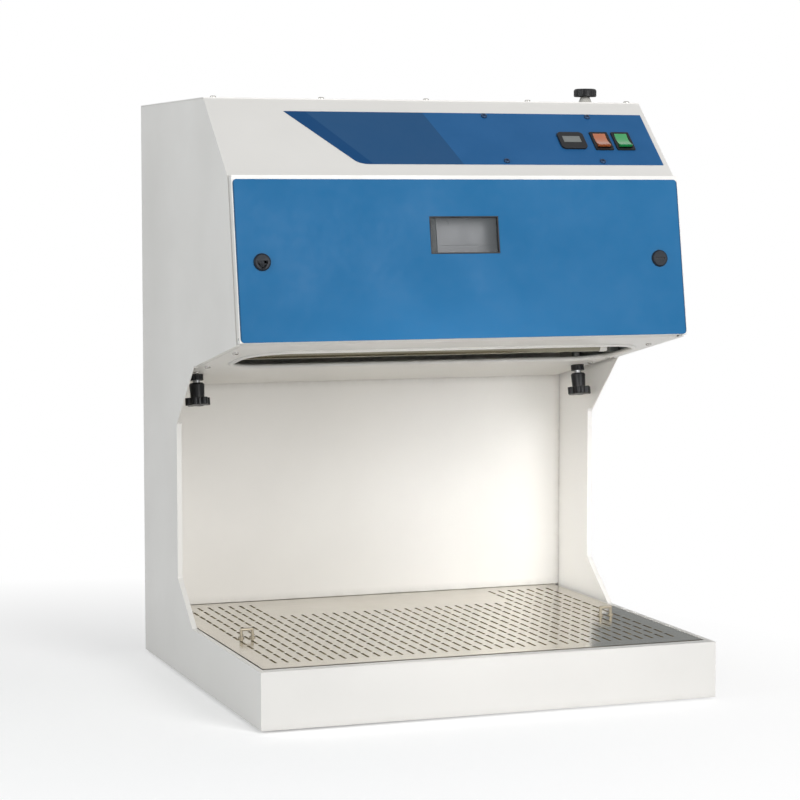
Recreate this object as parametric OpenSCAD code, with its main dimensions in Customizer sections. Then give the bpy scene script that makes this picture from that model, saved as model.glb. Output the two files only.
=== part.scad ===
// Downflow workstation: a C-shaped sheet metal cabinet with a slotted work surface,
// a tilted filter head behind a drop-down door, and a sloping control panel.
// X runs across, the front faces -Y, Z is up, the origin is the middle of the footprint.

/* [Cabinet] */
// Overall width
cab_w = 610; // [580:1:720]
// Overall depth
cab_d = 576; // [560:1:640]
// Overall height
cab_h = 772; // [760:1:840]
// Thickness of the folded sheet
sheet_t = 1.5; // [1.2:0.1:2]
// Width of the flange turned in round each side panel
flange_w = 7; // [6:0.5:12]
// Height of the base at its front wall
base_h = 75; // [66:1:90]
// Height of the rubber feet
foot_h = 3; // [2:0.5:8]

/* [Side outline] */
// Distance of the head's front bottom edge behind the base front
head_setback = 100; // [90:1:120]
// Height of the head, from its front bottom edge to the roof
head_h = 309; // [296:1:320]
// Slope of the soffit
soffit_tilt = 11; // [9:0.5:13]
// Depth of the column, from its front edge to the rear
column_d = 184; // [170:1:200]
// Distance from the column's front edge to the end of the straight soffit edge
upper_chamfer_d = 89.8; // [75:0.1:110]
// Height of the upper chamfer, from the head's front bottom edge down
upper_chamfer_h = 122; // [105:1:140]
// Height of the lower chamfer above the base
lower_chamfer_h = 57; // [40:1:80]
// Depth of the lower chamfer
lower_chamfer_d = 74; // [55:1:90]
// Distance of the work chamber's back wall from the rear
duct_d = 71; // [56:1:80]

/* [Door] */
// Lean of the door from the vertical
door_lean = 9.8; // [8:0.2:12]
// Height of the door opening along the door
door_h = 212; // [206:1:220]
// Depth of the door pan
door_t = 12; // [11:0.5:16]
// Gap round the door
door_gap = 1.5; // [1:0.1:2.5]
// Distance of the latches from the cabinet's sides
latch_margin = 35; // [30:1:60]
// Diameter of a latch button
latch_d = 22; // [18:1:26]
// Width of the window recess
window_w = 94; // [80:1:120]
// Height of the window recess
window_h = 48; // [36:1:52]
// Height of the window's middle above the door's bottom edge
window_z = 134; // [130:1:142]

/* [Control panel] */
// Lean of the control panel from the vertical
panel_lean = 47.8; // [46:0.2:50]
// Thickness of the control overlay
overlay_t = 0.8; // [0.6:0.1:1.2]
// Width of a switch bezel
switch_w = 26; // [24:1:30]
// Height of a switch bezel
switch_h = 35; // [32:1:38]
// Width of the hour counter's bezel
counter_w = 37; // [34:1:44]
// Height of the hour counter's bezel
counter_h = 32; // [28:1:36]
// Diameter of the roof knob
dial_d = 31; // [28:1:38]

/* [Work surface] */
// Thickness of the work surface
tray_t = 1.2; // [1:0.1:2]
// Height of the work surface's folded edges
tray_edge = 14; // [10:1:20]
// Gap between the work surface and the base at its sides
tray_gap = 2; // [1.5:0.5:4]
// Gap between the work surface and the base at its front
tray_front_gap = 5; // [2:0.5:8]
// Distance between neighbouring rows of slots
slot_pitch = 15; // [13:0.5:20]
// Width of a slot
slot_w = 3.6; // [2.5:0.1:4]
// Length of a slot
slot_l = 26; // [20:1:40]
// Web between two slots of a row
slot_web = 7; // [5:1:12]
// Plain margin along the edges of the work surface
slot_margin = 18; // [14:1:30]
// Distance of the plain field at the rear from the cabinet's sides
plain_margin = 127; // [100:1:150]
// Depth of the plain field at the rear
plain_d = 112; // [90:1:130]

/* [Soffit opening and lamp] */
// Distance of the soffit opening's left end from the cabinet's side
mouth_left = 41; // [38:1:70]
// Distance of the soffit opening's right end from the cabinet's side
mouth_right = 23; // [22:1:50]
// Depth of the soffit opening
mouth_d = 150; // [120:1:160]
// Distance of the opening's front edge behind the soffit's nose
mouth_front = 68; // [60:1:80]
// Corner radius of the soffit opening
mouth_r = 55; // [40:1:59]
// Height of the rim turned up round the opening
mouth_rim = 3; // [2:0.5:4]
// Radius of the rolled bead round the opening
bead_r = 3; // [2:0.1:3.5]
// Diameter of the lamp tube
lamp_d = 16; // [14:1:18]
// Distance of the lamp tube's caps from the cabinet's sides
lamp_margin = 30.5; // [29:0.5:36]

/* [Filter and blower] */
// Gap between the main filter and the cabinet's outer sides
filter_margin = 21; // [19:1:30]
// Space from the main filter to the cabinet's rear
filter_back = 256; // [246:1:276]
// Thickness of the main filter
filter_h = 140; // [132:1:146]
// Thickness of the filter frame's walls
filter_wall = 12; // [10:1:16]
// Number of pleats
pleats = 36; // [24:1:44]
// Diameter of the impeller
wheel_d = 190; // [170:1:200]
// Height of the impeller
wheel_h = 62; // [50:1:70]
// Number of impeller blades
blades = 14; // [9:1:20]

/* [Clamp knobs] */
// Distance of the clamp knobs from the cabinet's sides
knob_margin = 26; // [23:1:35]
// Distance of the clamp knobs in front of the column's front edge
knob_setback = 6; // [2:1:30]
// Diameter of a clamp knob's star
star_d = 34; // [30:1:38]
// Diameter of a clamp stud
stud_d = 10; // [8:0.5:10]
// Turning clearance of pins and studs, on the radius
turn_gap = 0.05; // [0.03:0.01:0.08]

/* [Hidden] */
$fn = 48;

fit = 0.3;
white = [0.93, 0.92, 0.90];
blue = [0.19, 0.46, 0.68];
black = [0.06, 0.06, 0.07];
steel = [0.72, 0.72, 0.72];

// Thickness of the inlet's rim, which stands proud of the rear panel
inlet_rim = 2.5;

// Planar helpers. A point of a side outline is [y, z]; fy places a distance behind the base front.
function fy(v) = v - (cab_d + inlet_rim) / 2;
function unit(v) = v / norm(v);
function left_of(v) = [-v[1], v[0]];
function crossing(p, a, q, b) =
    p + a * ((q[0] - p[0]) * b[1] - (q[1] - p[1]) * b[0]) / (a[0] * b[1] - a[1] * b[0]);
function shifted_corner(before, p, after, d) =
    let (a = unit(p - before), b = unit(after - p))
    abs(a[0] * b[1] - a[1] * b[0]) < 0.0001
        ? p + left_of(a) * d
        : crossing(p + left_of(a) * d, a, p + left_of(b) * d, b);
// Closed outline moved inward by d; its points run counter-clockwise.
function inset(pts, d) = let (n = len(pts))
    [for (i = [0:n - 1]) shifted_corner(pts[(i + n - 1) % n], pts[i], pts[(i + 1) % n], d)];
// Open path moved to its left by d.
function beside(pts, d) = let (n = len(pts))
    [for (i = [0:n - 1])
        i == 0 ? pts[0] + left_of(unit(pts[1] - pts[0])) * d
        : i == n - 1 ? pts[i] + left_of(unit(pts[i] - pts[i - 1])) * d
        : shifted_corner(pts[i - 1], pts[i], pts[i + 1], d)];
function backwards(pts) = [for (i = [len(pts) - 1:-1:0]) pts[i]];
// Section of a sheet that is folded along a path and lies on the path's left.
function folded(pts, t) = concat(pts, backwards(beside(pts, t)));
function arc(c, r, a0, a1, n) =
    [for (i = [0:n]) let (a = a0 + (a1 - a0) * i / n) c + r * [cos(a), sin(a)]];

// Sizes that follow from the cabinet's
head_z = cab_h - head_h;
column_y = cab_d - column_d;
column_top_z = head_z - upper_chamfer_h;
column_low_z = base_h + lower_chamfer_h;
chamfer_y = column_y - lower_chamfer_d;
back_wall_y = cab_d - duct_d;
soffit_edge = (column_y - upper_chamfer_d - head_setback) / cos(soffit_tilt);
latch_x = cab_w / 2 - latch_margin;
plain_w = cab_w - 2 * plain_margin;
mouth_w = cab_w - mouth_left - mouth_right;
mouth_x = (mouth_left - mouth_right) / 2;
lamp_l = cab_w - 2 * lamp_margin;
filter_w = cab_w - 2 * filter_margin;
filter_d = cab_d - filter_back;
knob_x = cab_w / 2 - knob_margin;
knob_y = column_y - knob_setback;

// Key points of the side outline
door_dir = [sin(door_lean), cos(door_lean)];
door_in = [cos(door_lean), -sin(door_lean)];
panel_dir = [sin(panel_lean), cos(panel_lean)];
panel_in = [cos(panel_lean), -sin(panel_lean)];
soffit_dir = [cos(soffit_tilt), -sin(soffit_tilt)];
head_corner = [fy(head_setback), head_z];
panel_foot = head_corner + door_h * door_dir;
roof_z = cab_h - sheet_t;
panel_top = crossing(panel_foot, panel_dir, [0, roof_z], [1, 0]);
panel_len = norm(panel_top - panel_foot);
side_foot = crossing(head_corner, door_dir, panel_foot + sheet_t * panel_in, panel_dir);
side_top = crossing(panel_foot + sheet_t * panel_in, panel_dir, [0, roof_z], [1, 0]);
side_outline = [
    [fy(sheet_t), foot_h],
    [fy(cab_d - sheet_t), foot_h],
    [fy(cab_d - sheet_t), roof_z],
    side_top,
    side_foot,
    head_corner,
    head_corner + soffit_edge * soffit_dir,
    [fy(column_y), column_top_z],
    [fy(column_y), column_low_z],
    [fy(chamfer_y), base_h],
    [fy(sheet_t), base_h]
];
inner_w = cab_w - 2 * (flange_w + fit);
skin_gap_w = cab_w - 2 * (sheet_t + fit);
soffit_back = (fy(back_wall_y) - head_corner[0]) / cos(soffit_tilt);
knob_v = (knob_y - head_setback) / cos(soffit_tilt);

// Heights of the filter and the plenum plate above the soffit, and the filter's setback
filter_front = 10;
filter_low = 42;
rail_t = 2;
seal_h = 6;
plate_w = filter_low + filter_h + seal_h;

// Places its children in the plane of the soffit: y runs back, z runs up from the soffit.
module on_soffit() {
    translate([0, head_corner[0], head_corner[1]])
        rotate([-soffit_tilt, 0, 0])
            children();
}

// Places its children in the plane of the door: z runs up the door, -y is outward.
module on_door() {
    translate([0, head_corner[0], head_corner[1]])
        rotate([-door_lean, 0, 0])
            children();
}

// Places its children on the control panel: z runs up the panel, -y is outward.
module on_panel() {
    translate([0, panel_foot[0], panel_foot[1]])
        rotate([-panel_lean, 0, 0])
            children();
}

// Extrudes a side outline across the cabinet, centred.
module across(width, pts) {
    translate([-width / 2, 0, 0])
        rotate([90, 0, 90])
            linear_extrude(width)
                polygon(pts);
}

module round_rect(w, h, r) {
    square([w, h - 2 * r], center = true);
    square([w - 2 * r, h], center = true);
    for (sx = [-1, 1], sy = [-1, 1])
        translate([sx * (w / 2 - r), sy * (h / 2 - r)])
            circle(r);
}

// Plate with rounded corners that stands in a plane: x across, z up, y its thickness.
module upright(t) {
    translate([0, t, 0])
        rotate([90, 0, 0])
            linear_extrude(t)
                children();
}

// Pan head screw: the head lies in z 0..h, the shank points down.
screw_head_d = 8;
screw_head_h = 2.4;
screw_shank_d = 3.6;
module screw(shank) {
    rotate_extrude()
        polygon([[0, -shank], [screw_shank_d / 2, -shank], [screw_shank_d / 2, 0],
                 [screw_head_d / 2, 0], [screw_head_d / 2, screw_head_h * 0.45],
                 [screw_head_d * 0.4, screw_head_h * 0.85], [screw_head_d * 0.25, screw_head_h],
                 [0, screw_head_h]]);
}

// Cabinet shell

// Strip along the upper chamfer, where the side panels have no flange.
module upper_chamfer_strip() {
    from = head_corner + soffit_edge * soffit_dir;
    to = [fy(column_y), column_top_z];
    along = unit(to - from);
    out = left_of(along);
    polygon([from + 3 * along + 2 * out, to - 3 * along + 2 * out,
             to - 3 * along - 3 * sheet_t * out, from + 3 * along - 3 * sheet_t * out]);
}

module side_panel() {
    color(white)
        translate([-cab_w / 2, 0, 0])
            rotate([90, 0, 90]) {
                linear_extrude(sheet_t)
                    polygon(side_outline);
                linear_extrude(flange_w)
                    difference() {
                        polygon(side_outline);
                        polygon(inset(side_outline, sheet_t));
                        upper_chamfer_strip();
                    }
            }
}

module left_side_panel() {
    side_panel();
}

module right_side_panel() {
    mirror([1, 0, 0])
        side_panel();
}

roof_drop = 20;
vent_slots = 9;
vent_pitch = 12;
vent_l = 70;
vent_h = 4;
vent_z = cab_h - 82;
vent_x = cab_w / 2 - 155;
inlet_w = 28;
inlet_h = 48;
inlet_x = cab_w / 2 - 95;
inlet_z = cab_h - 212;
rear_screw_inset = 4.6;

module inlet_place() {
    translate([inlet_x, fy(cab_d), inlet_z])
        children();
}

module rear_screw_places() {
    for (sx = [-1, 1], k = [0:3])
        translate([sx * (cab_w / 2 - rear_screw_inset), fy(cab_d),
                   base_h / 2 + k * (cab_h - base_h - roof_drop) / 3])
            rotate([-90, 0, 0])
                children();
}

module rear_panel() {
    plate_h = cab_h - roof_drop - fit - foot_h;
    color(white)
        difference() {
            translate([-cab_w / 2, fy(cab_d - sheet_t), foot_h])
                cube([cab_w, sheet_t, plate_h]);
            inlet_place()
                cube([inlet_w, 3 * sheet_t, inlet_h], center = true);
            for (sx = [-1, 1], k = [0:vent_slots - 1])
                translate([sx * vent_x, fy(cab_d) - 2 * sheet_t, vent_z - k * vent_pitch])
                    upright(3 * sheet_t)
                        round_rect(vent_l, vent_h, vent_h * 0.49);
            rear_screw_places()
                cylinder(d = screw_shank_d + 2 * fit, h = 6 * sheet_t, center = true);
        }
}

roof_screw_back = 8;
roof_screw_inset = 15;
dial_x = cab_w / 2 - 55;
dial_y = cab_d - 276;
dial_bush_d = 20;

module roof_panel() {
    path = [[fy(cab_d), cab_h - roof_drop], [fy(cab_d), cab_h], [panel_top[0], cab_h]];
    color(white)
        difference() {
            across(cab_w, folded(path, sheet_t));
            translate([dial_x, fy(dial_y), cab_h])
                cylinder(d = dial_bush_d / 2 + 2 * fit, h = 6 * sheet_t, center = true);
            roof_screw_places()
                cylinder(d = screw_shank_d + 2 * fit, h = 6 * sheet_t, center = true);
        }
}

module roof_screw_places() {
    for (k = [-2:2])
        translate([k * (cab_w / 2 - roof_screw_inset) / 2, panel_top[0] + roof_screw_back, cab_h])
            children();
}

base_lip = 16;
base_back_lip = 24;

module base_pan() {
    path = [[fy(base_lip), base_h], [fy(0), base_h], [fy(0), foot_h],
            [fy(cab_d - sheet_t - fit), foot_h],
            [fy(cab_d - sheet_t - fit), foot_h + base_back_lip]];
    color(white) {
        across(inner_w, folded(path, sheet_t));
        across(cab_w, folded([[fy(0), base_h], [fy(0), foot_h]], sheet_t));
    }
}

foot_d = 34;
foot_inset = 52;

module feet() {
    color(black)
        for (sx = [-1, 1], v = [foot_inset, cab_d - foot_inset])
            translate([sx * (cab_w / 2 - foot_inset), fy(v), 0])
                rotate_extrude()
                    polygon([[0, 0], [foot_d / 2 - 1.5, 0], [foot_d / 2, foot_h], [0, foot_h]]);
}

// Work chamber

tray_front = base_lip + tray_front_gap;
tray_back = back_wall_y + 8;
tray_w = cab_w - 2 * (flange_w + tray_gap);
rail_w = 18;
pre_filter_h = 20;

module tray_rails() {
    rail_top = base_h - tray_t;
    ledge = pre_filter_h + fit;
    floor_drop = rail_top - foot_h - sheet_t;
    section = [[0, 0], [rail_w, 0], [rail_w, -sheet_t], [sheet_t, -sheet_t], [sheet_t, -ledge],
               [2 * rail_w, -ledge], [2 * rail_w, -ledge - sheet_t], [sheet_t, -ledge - sheet_t],
               [sheet_t, -floor_drop], [0, -floor_drop]];
    color(white)
        for (sx = [0, 1])
            mirror([sx, 0, 0])
                translate([-tray_w / 2 + tray_t + fit, fy(tray_back) - fit, rail_top])
                    rotate([90, 0, 0])
                        linear_extrude(tray_back - tray_front - 4 * tray_t)
                            polygon(section);
}

module pre_filter() {
    color([0.35, 0.37, 0.38])
        translate([-tray_w / 2 + rail_w + 4, fy(tray_front + 10), base_h - tray_t - pre_filter_h - fit])
            cube([tray_w - 2 * rail_w - 8, back_wall_y - tray_front - 20, pre_filter_h]);
}

module tray_slots() {
    usable_w = tray_w - 2 * slot_margin;
    usable_d = back_wall_y - tray_front - 2 * slot_margin;
    columns = floor(usable_w / slot_pitch / 2);
    step = slot_l + slot_web;
    rows = floor((usable_d + slot_web) / step);
    first = tray_front + slot_margin + (usable_d - rows * step + slot_web) / 2;
    for (c = [-columns:columns], r = [0:rows - 1])
        if (abs(c * slot_pitch) > plain_w / 2 || first + r * step + slot_l < back_wall_y - plain_d)
            translate([c * slot_pitch - slot_w / 2, fy(first + r * step)])
                square([slot_w, slot_l]);
}

module work_surface() {
    color(steel)
        translate([0, 0, base_h - tray_t]) {
            linear_extrude(tray_t)
                difference() {
                    translate([-tray_w / 2, fy(tray_front)])
                        square([tray_w, tray_back - tray_front]);
                    tray_slots();
                }
            translate([0, 0, -tray_edge + tray_t])
                linear_extrude(tray_edge - tray_t)
                    difference() {
                        translate([-tray_w / 2, fy(tray_front)])
                            square([tray_w, tray_back - tray_front]);
                        translate([-tray_w / 2 + tray_t, fy(tray_front) + tray_t])
                            square([tray_w - 2 * tray_t, tray_back - tray_front]);
                    }
        }
}

handle_w = 15;
handle_h = 13;
handle_d = 4;
handle_x = cab_w / 2 - 50;
handle_y = 232;

// Two low wire handles that lift the work surface
module tray_handles() {
    color(steel)
        for (sx = [-1, 1])
            translate([sx * handle_x, fy(handle_y), base_h]) {
                for (side = [-1, 1])
                    translate([side * handle_w / 2, 0, 0]) {
                        cylinder(d = handle_d, h = handle_h - handle_d / 2, $fn = 24);
                        cylinder(d = handle_d + 4, h = 1.5, $fn = 24);
                        translate([0, 0, handle_h - handle_d / 2])
                            sphere(d = handle_d, $fn = 24);
                    }
                translate([0, 0, handle_h - handle_d / 2])
                    rotate([0, 90, 0])
                        cylinder(d = handle_d, h = handle_w, center = true, $fn = 24);
            }
}

wall_flange = 14;
// The wall ends under the sloping plenum plate.
wall_top_z = head_z + plate_w / cos(soffit_tilt)
    - (back_wall_y + wall_flange - head_setback) * tan(soffit_tilt) - fit;

module inner_back_wall() {
    half = skin_gap_w / 2;
    path = [[half, wall_flange], [half, 0], [-half, 0], [-half, wall_flange]];
    color(white)
        translate([0, fy(back_wall_y), base_h + fit])
            linear_extrude(wall_top_z - base_h - fit)
                polygon(folded(path, -sheet_t));
}

nose_r = 9;
nose_up = 26;
soffit_up = 16;
soffit_screw_x = cab_w / 2 - 18.8;
lamp_v = 180;
soffit_screw_v = [70, lamp_v + lamp_d / 2 + 16, 262];

module soffit_mouth() {
    translate([mouth_x, mouth_front + mouth_d / 2])
        children();
}

// Rolled bead that follows the edge of the opening.
module mouth_bead() {
    run_x = mouth_w / 2 - mouth_r;
    run_y = mouth_d / 2 - mouth_r;
    turn = mouth_r + sheet_t / 2;
    soffit_mouth() {
        for (s = [-1, 1]) {
            translate([0, s * (run_y + turn), 0])
                rotate([0, 90, 0])
                    cylinder(r = bead_r, h = 2 * run_x, center = true, $fn = 24);
            translate([s * (run_x + turn), 0, 0])
                rotate([90, 0, 0])
                    cylinder(r = bead_r, h = 2 * run_y, center = true, $fn = 24);
        }
        for (corner = [[1, 1, 0], [-1, 1, 90], [-1, -1, 180], [1, -1, 270]])
            translate([corner[0] * run_x, corner[1] * run_y, 0])
                rotate(corner[2])
                    rotate_extrude(angle = 90)
                        translate([turn, 0])
                            circle(bead_r, $fn = 24);
    }
}

module head_soffit() {
    last = soffit_back - fit;
    start = sheet_t + fit;
    path = concat([[last - soffit_up * tan(soffit_tilt), soffit_up], [last, 0]],
                  arc([start + nose_r, nose_r], nose_r, 270, 180, 6),
                  [[start, nose_up]]);
    color(white)
        on_soffit() {
            difference() {
                union() {
                    across(inner_w, folded(backwards(path), sheet_t));
                    linear_extrude(mouth_rim)
                        soffit_mouth()
                            round_rect(mouth_w + 2 * sheet_t, mouth_d + 2 * sheet_t, mouth_r + sheet_t);
                }
                translate([0, 0, -sheet_t])
                    linear_extrude(mouth_rim + 3 * sheet_t)
                        soffit_mouth()
                            round_rect(mouth_w, mouth_d, mouth_r);
                for (sx = [-1, 1])
                    translate([sx * knob_x, knob_v, 0])
                        cylinder(d = stud_d + 2, h = 6 * sheet_t, center = true);
                soffit_screw_places()
                    cylinder(d = screw_shank_d + 2 * fit, h = 6 * sheet_t, center = true);
            }
            mouth_bead();
        }
}

module soffit_screw_places() {
    for (sx = [-1, 1], v = soffit_screw_v)
        translate([sx * soffit_screw_x, v, 0])
            rotate([180, 0, 0])
                children();
}

// Lamp

lamp_w = mouth_rim + 1.5 + lamp_d / 2;
cap_l = 12;
pin_l = 7;
holder_t = 14;

module lamp_tube() {
    half = lamp_l / 2;
    color([0.95, 0.95, 0.92])
        on_soffit()
            translate([0, lamp_v, lamp_w])
                rotate([0, 90, 0])
                    rotate_extrude()
                        polygon([[0, -half - pin_l], [2.5, -half - pin_l], [2.5, -half],
                                 [lamp_d / 2, -half], [lamp_d / 2, -half + cap_l],
                                 [lamp_d / 2 - 0.5, -half + cap_l], [lamp_d / 2 - 0.5, half - cap_l],
                                 [lamp_d / 2, half - cap_l], [lamp_d / 2, half],
                                 [2.5, half], [2.5, half + pin_l], [0, half + pin_l]]);
}

module lamp_holders() {
    body_h = lamp_w + lamp_d / 2 + 2 - sheet_t;
    color([0.9, 0.9, 0.88])
        on_soffit()
            for (sx = [-1, 1])
                difference() {
                    translate([sx * (lamp_l / 2 + fit + holder_t / 2), lamp_v, sheet_t + body_h / 2])
                        cube([holder_t, lamp_d + 6, body_h], center = true);
                    translate([0, 0, -fit])
                        linear_extrude(bead_r + 2 * fit)
                            soffit_mouth()
                                round_rect(mouth_w + 2 * bead_r + 3, mouth_d + 2 * bead_r + 3,
                                           mouth_r + bead_r + 1.5);
                    translate([sx * (lamp_l / 2 + pin_l / 2), lamp_v, lamp_w])
                        rotate([0, 90, 0])
                            cylinder(r = 2.5 + fit / 2, h = pin_l + 2 * fit, center = true);
                }
}

// Controls

fan_x = cab_w / 2 - 51;
light_x = fan_x - switch_w - 5;
counter_x = light_x - (switch_w + counter_w) / 2 - 11;
control_z = panel_len - 79;
bezel_t = 2;
switch_depth = 24;

module control_panel() {
    lower = panel_foot + 14 * door_in;
    upper = panel_top + [2 * roof_screw_back, 0];
    color(white)
        difference() {
            union() {
                across(cab_w, folded([panel_top, panel_foot], sheet_t));
                across(inner_w, folded([upper, panel_top, panel_foot, lower], sheet_t));
            }
            on_panel() {
                for (x = [fan_x, light_x])
                    translate([x, 0, control_z])
                        cube([switch_w - 4, 8 * sheet_t, switch_h - 4], center = true);
                translate([counter_x, 0, control_z])
                    cube([counter_w - 6, 8 * sheet_t, counter_h - 6], center = true);
                overlay_screw_places()
                    cylinder(d = screw_shank_d + 2 * fit, h = 6 * sheet_t, center = true);
            }
            roof_screw_places()
                cylinder(d = screw_shank_d + 2 * fit, h = 6 * sheet_t, center = true);
        }
}

overlay_top = 24;
overlay_low = 22;
overlay_right = cab_w / 2 - 7;
overlay_tip = 101 - cab_w / 2;
overlay_run = 78;
overlay_r = 14;

// Overlay outline: a slanted left end whose lower corner is rounded, x across, z up the panel.
function overlay_outline(shrink) =
    let (top = panel_len - overlay_top - shrink, low = overlay_low + shrink,
         right = overlay_right - shrink, tip = overlay_tip + shrink, foot = tip + overlay_run,
         slant = unit([tip - foot, top - low]),
         bend = foot + overlay_r)
    concat([[tip, top], [foot, low] + slant * overlay_r * 0.7],
           [for (i = [1:4]) let (s = i / 5)
               (1 - s) * (1 - s) * ([foot, low] + slant * overlay_r * 0.7)
               + 2 * s * (1 - s) * [foot, low] + s * s * [bend, low]],
           [[bend, low], [right, low], [right, top]]);

module overlay_screw_places() {
    for (p = [[fan_x - 184, panel_len - 30], [fan_x - 36, panel_len - 30],
              [fan_x - 178, 28], [fan_x - 42, 28]])
        translate([p[0], 0, p[1]])
            rotate([90, 0, 0])
                children();
}

module control_overlay() {
    color([0.13, 0.33, 0.6])
        on_panel()
            difference() {
                translate([0, -overlay_t, 0])
                    upright(overlay_t)
                        polygon(overlay_outline(0));
                for (x = [fan_x, light_x])
                    translate([x, 0, control_z])
                        cube([switch_w - 4, 4 * overlay_t, switch_h - 4], center = true);
                translate([counter_x, 0, control_z])
                    cube([counter_w - 6, 4 * overlay_t, counter_h - 6], center = true);
                overlay_screw_places()
                    cylinder(d = screw_shank_d + 2 * fit, h = 4 * overlay_t, center = true);
            }
}

// One switch body: bezel in front of the overlay, hollow box behind it.
module switch_body() {
    difference() {
        union() {
            translate([0, -overlay_t - bezel_t, 0])
                upright(bezel_t)
                    round_rect(switch_w, switch_h, 2);
            translate([0, switch_depth / 2 - overlay_t, 0])
                cube([switch_w - 4 - fit, switch_depth, switch_h - 4 - fit], center = true);
        }
        translate([0, -overlay_t - bezel_t, 0])
            cube([switch_w - 7, 2 * (bezel_t + 10), switch_h - 7], center = true);
    }
    for (s = [-1, 1])
        translate([s * 4, switch_depth - overlay_t + 4, 0])
            cube([0.8, 8, 6], center = true);
}

module switch_bodies() {
    color(black)
        on_panel()
            for (x = [fan_x, light_x])
                translate([x, 0, control_z])
                    switch_body();
}

rocker_swing = 16;
rocker_pivot = 1.5;
rocker_pin_d = 4;

// Rocker cap: a shallow V on top of a round back, turning about the line across its middle.
module rocker_cap() {
    half = (switch_h - 8.6) / 2;
    w = switch_w - 8;
    translate([0, rocker_pivot - overlay_t, 0]) {
        rotate([0, 90, 0])
            cylinder(d = rocker_pin_d, h = w + 0.6, center = true);
        rotate([-rocker_swing / 2, 0, 0])
            across(w, [[-5.6, half * 0.98], [-3.6, half * 0.45], [-3, 0], [-3.6, -half * 0.45],
                       [-5.6, -half * 0.98], [-1.5, -half * 0.9], [3.5, -half * 0.5],
                       [3.5, half * 0.5], [-1.5, half * 0.9]]);
    }
}

module fan_rocker() {
    color([0.05, 0.6, 0.3])
        on_panel()
            translate([fan_x, 0, control_z])
                rocker_cap();
}

module light_rocker() {
    color([0.85, 0.4, 0.12])
        on_panel()
            translate([light_x, 0, control_z])
                rocker_cap();
}

display_w = 25;
display_h = 12;

module hour_counter() {
    color(black)
        on_panel()
            translate([counter_x, 0, control_z])
                difference() {
                    union() {
                        translate([0, -overlay_t - 3, 0])
                            upright(3)
                                round_rect(counter_w, counter_h, 6);
                        translate([0, 12 - overlay_t, 0])
                            cube([counter_w - 6 - fit, 24, counter_h - 6 - fit], center = true);
                    }
                    translate([0, -overlay_t - 3, 2])
                        cube([display_w, 3, display_h], center = true);
                }
}

module counter_display() {
    color([0.55, 0.58, 0.58])
        on_panel()
            translate([counter_x, -overlay_t - 2, control_z + 2])
                cube([display_w - 0.2, 1, display_h - 0.2], center = true);
}

bush_h = 9;
dial_h = 11;

module speed_control() {
    color(steel)
        translate([dial_x, fy(dial_y), cab_h]) {
            difference() {
                union() {
                    cylinder(d1 = dial_bush_d, d2 = dial_bush_d * 0.62, h = bush_h);
                    translate([0, 0, -sheet_t - 16])
                        cylinder(d = dial_bush_d / 2, h = sheet_t + 16.5);
                    translate([0, 0, -sheet_t - fit - 16])
                        cylinder(d = 26, h = 15.7);
                }
                translate([0, 0, -10])
                    cylinder(d = 6 + 2 * turn_gap, h = 30);
            }
        }
}

module speed_knob() {
    ribs = 20;
    color(black)
        translate([dial_x, fy(dial_y), cab_h + bush_h + fit]) {
            difference() {
                rotate_extrude()
                    polygon([[0, 0], [dial_d / 2 - 1, 0], [dial_d / 2, 1],
                             [dial_d / 2, dial_h - 2.5], [dial_d / 2 - 1.5, dial_h - 0.5],
                             [dial_d / 2 - 4, dial_h], [0, dial_h]]);
                for (k = [0:ribs - 1])
                    rotate(k * 360 / ribs)
                        translate([dial_d / 2 + 0.6, 0, 2])
                            cylinder(r = 1.5, h = 20);
            }
            translate([0, 0, -bush_h - fit - 9])
                cylinder(d = 6, h = bush_h + fit + 9.5);
        }
}

// Door

hinge_y = -door_t / 2;
hinge_z = 5.5;
pin_d = 4;
pan_w = cab_w - 2 * door_gap;
pan_h = door_h - 2 * door_gap;
bracket_x = pan_w / 2 - 6;
bracket_t = 4;

module door_place() {
    on_door()
        translate([0, -door_gap / 4, door_gap])
            children();
}

module filter_door() {
    face = sheet_t;
    color(white)
        door_place()
            difference() {
                union() {
                    // face
                    translate([-pan_w / 2, -door_t, 0])
                        cube([pan_w, face, pan_h]);
                    // side flanges with a rounded hinge ear
                    for (sx = [-1, 1])
                        translate([sx * (pan_w - sheet_t) / 2, 0, 0]) {
                            across(sheet_t, [[-door_t, 0], [hinge_y, 0], [hinge_y, hinge_z],
                                             [0, hinge_z], [0, pan_h], [-door_t, pan_h]]);
                            translate([0, hinge_y, hinge_z])
                                rotate([0, 90, 0])
                                    cylinder(r = hinge_z, h = sheet_t, center = true);
                        }
                    // top flange, then bottom flange up to the hinge line
                    translate([-pan_w / 2, -door_t, pan_h - sheet_t])
                        cube([pan_w, door_t, sheet_t]);
                    translate([-pan_w / 2, -door_t, 0])
                        cube([pan_w, door_t + hinge_y + 1, sheet_t]);
                }
                for (sx = [-1, 1]) {
                    translate([sx * (pan_w / 2 - sheet_t / 2), hinge_y, hinge_z])
                        rotate([0, 90, 0])
                            cylinder(d = pin_d + 2 * turn_gap, h = 3 * sheet_t, center = true);
                    translate([sx * bracket_x, 0, 0])
                        cube([bracket_t + 2, 2 * (door_t - sheet_t), 2 * sheet_t + 0.2], center = true);
                    translate([sx * latch_x, -door_t, latch_z])
                        rotate([90, 0, 0])
                            cylinder(d = latch_shaft_d + 2 * turn_gap, h = 4 * sheet_t, center = true);
                }
                translate([0, -door_t, window_z - door_gap])
                    cube([window_w, 4 * sheet_t, window_h], center = true);
            }
}

latch_z = 100;
latch_shaft_d = 10;
door_skin_t = 1;
skin_edge = 1.2;
skin_low = 0.4;
skin_top = 5.2;

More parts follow.
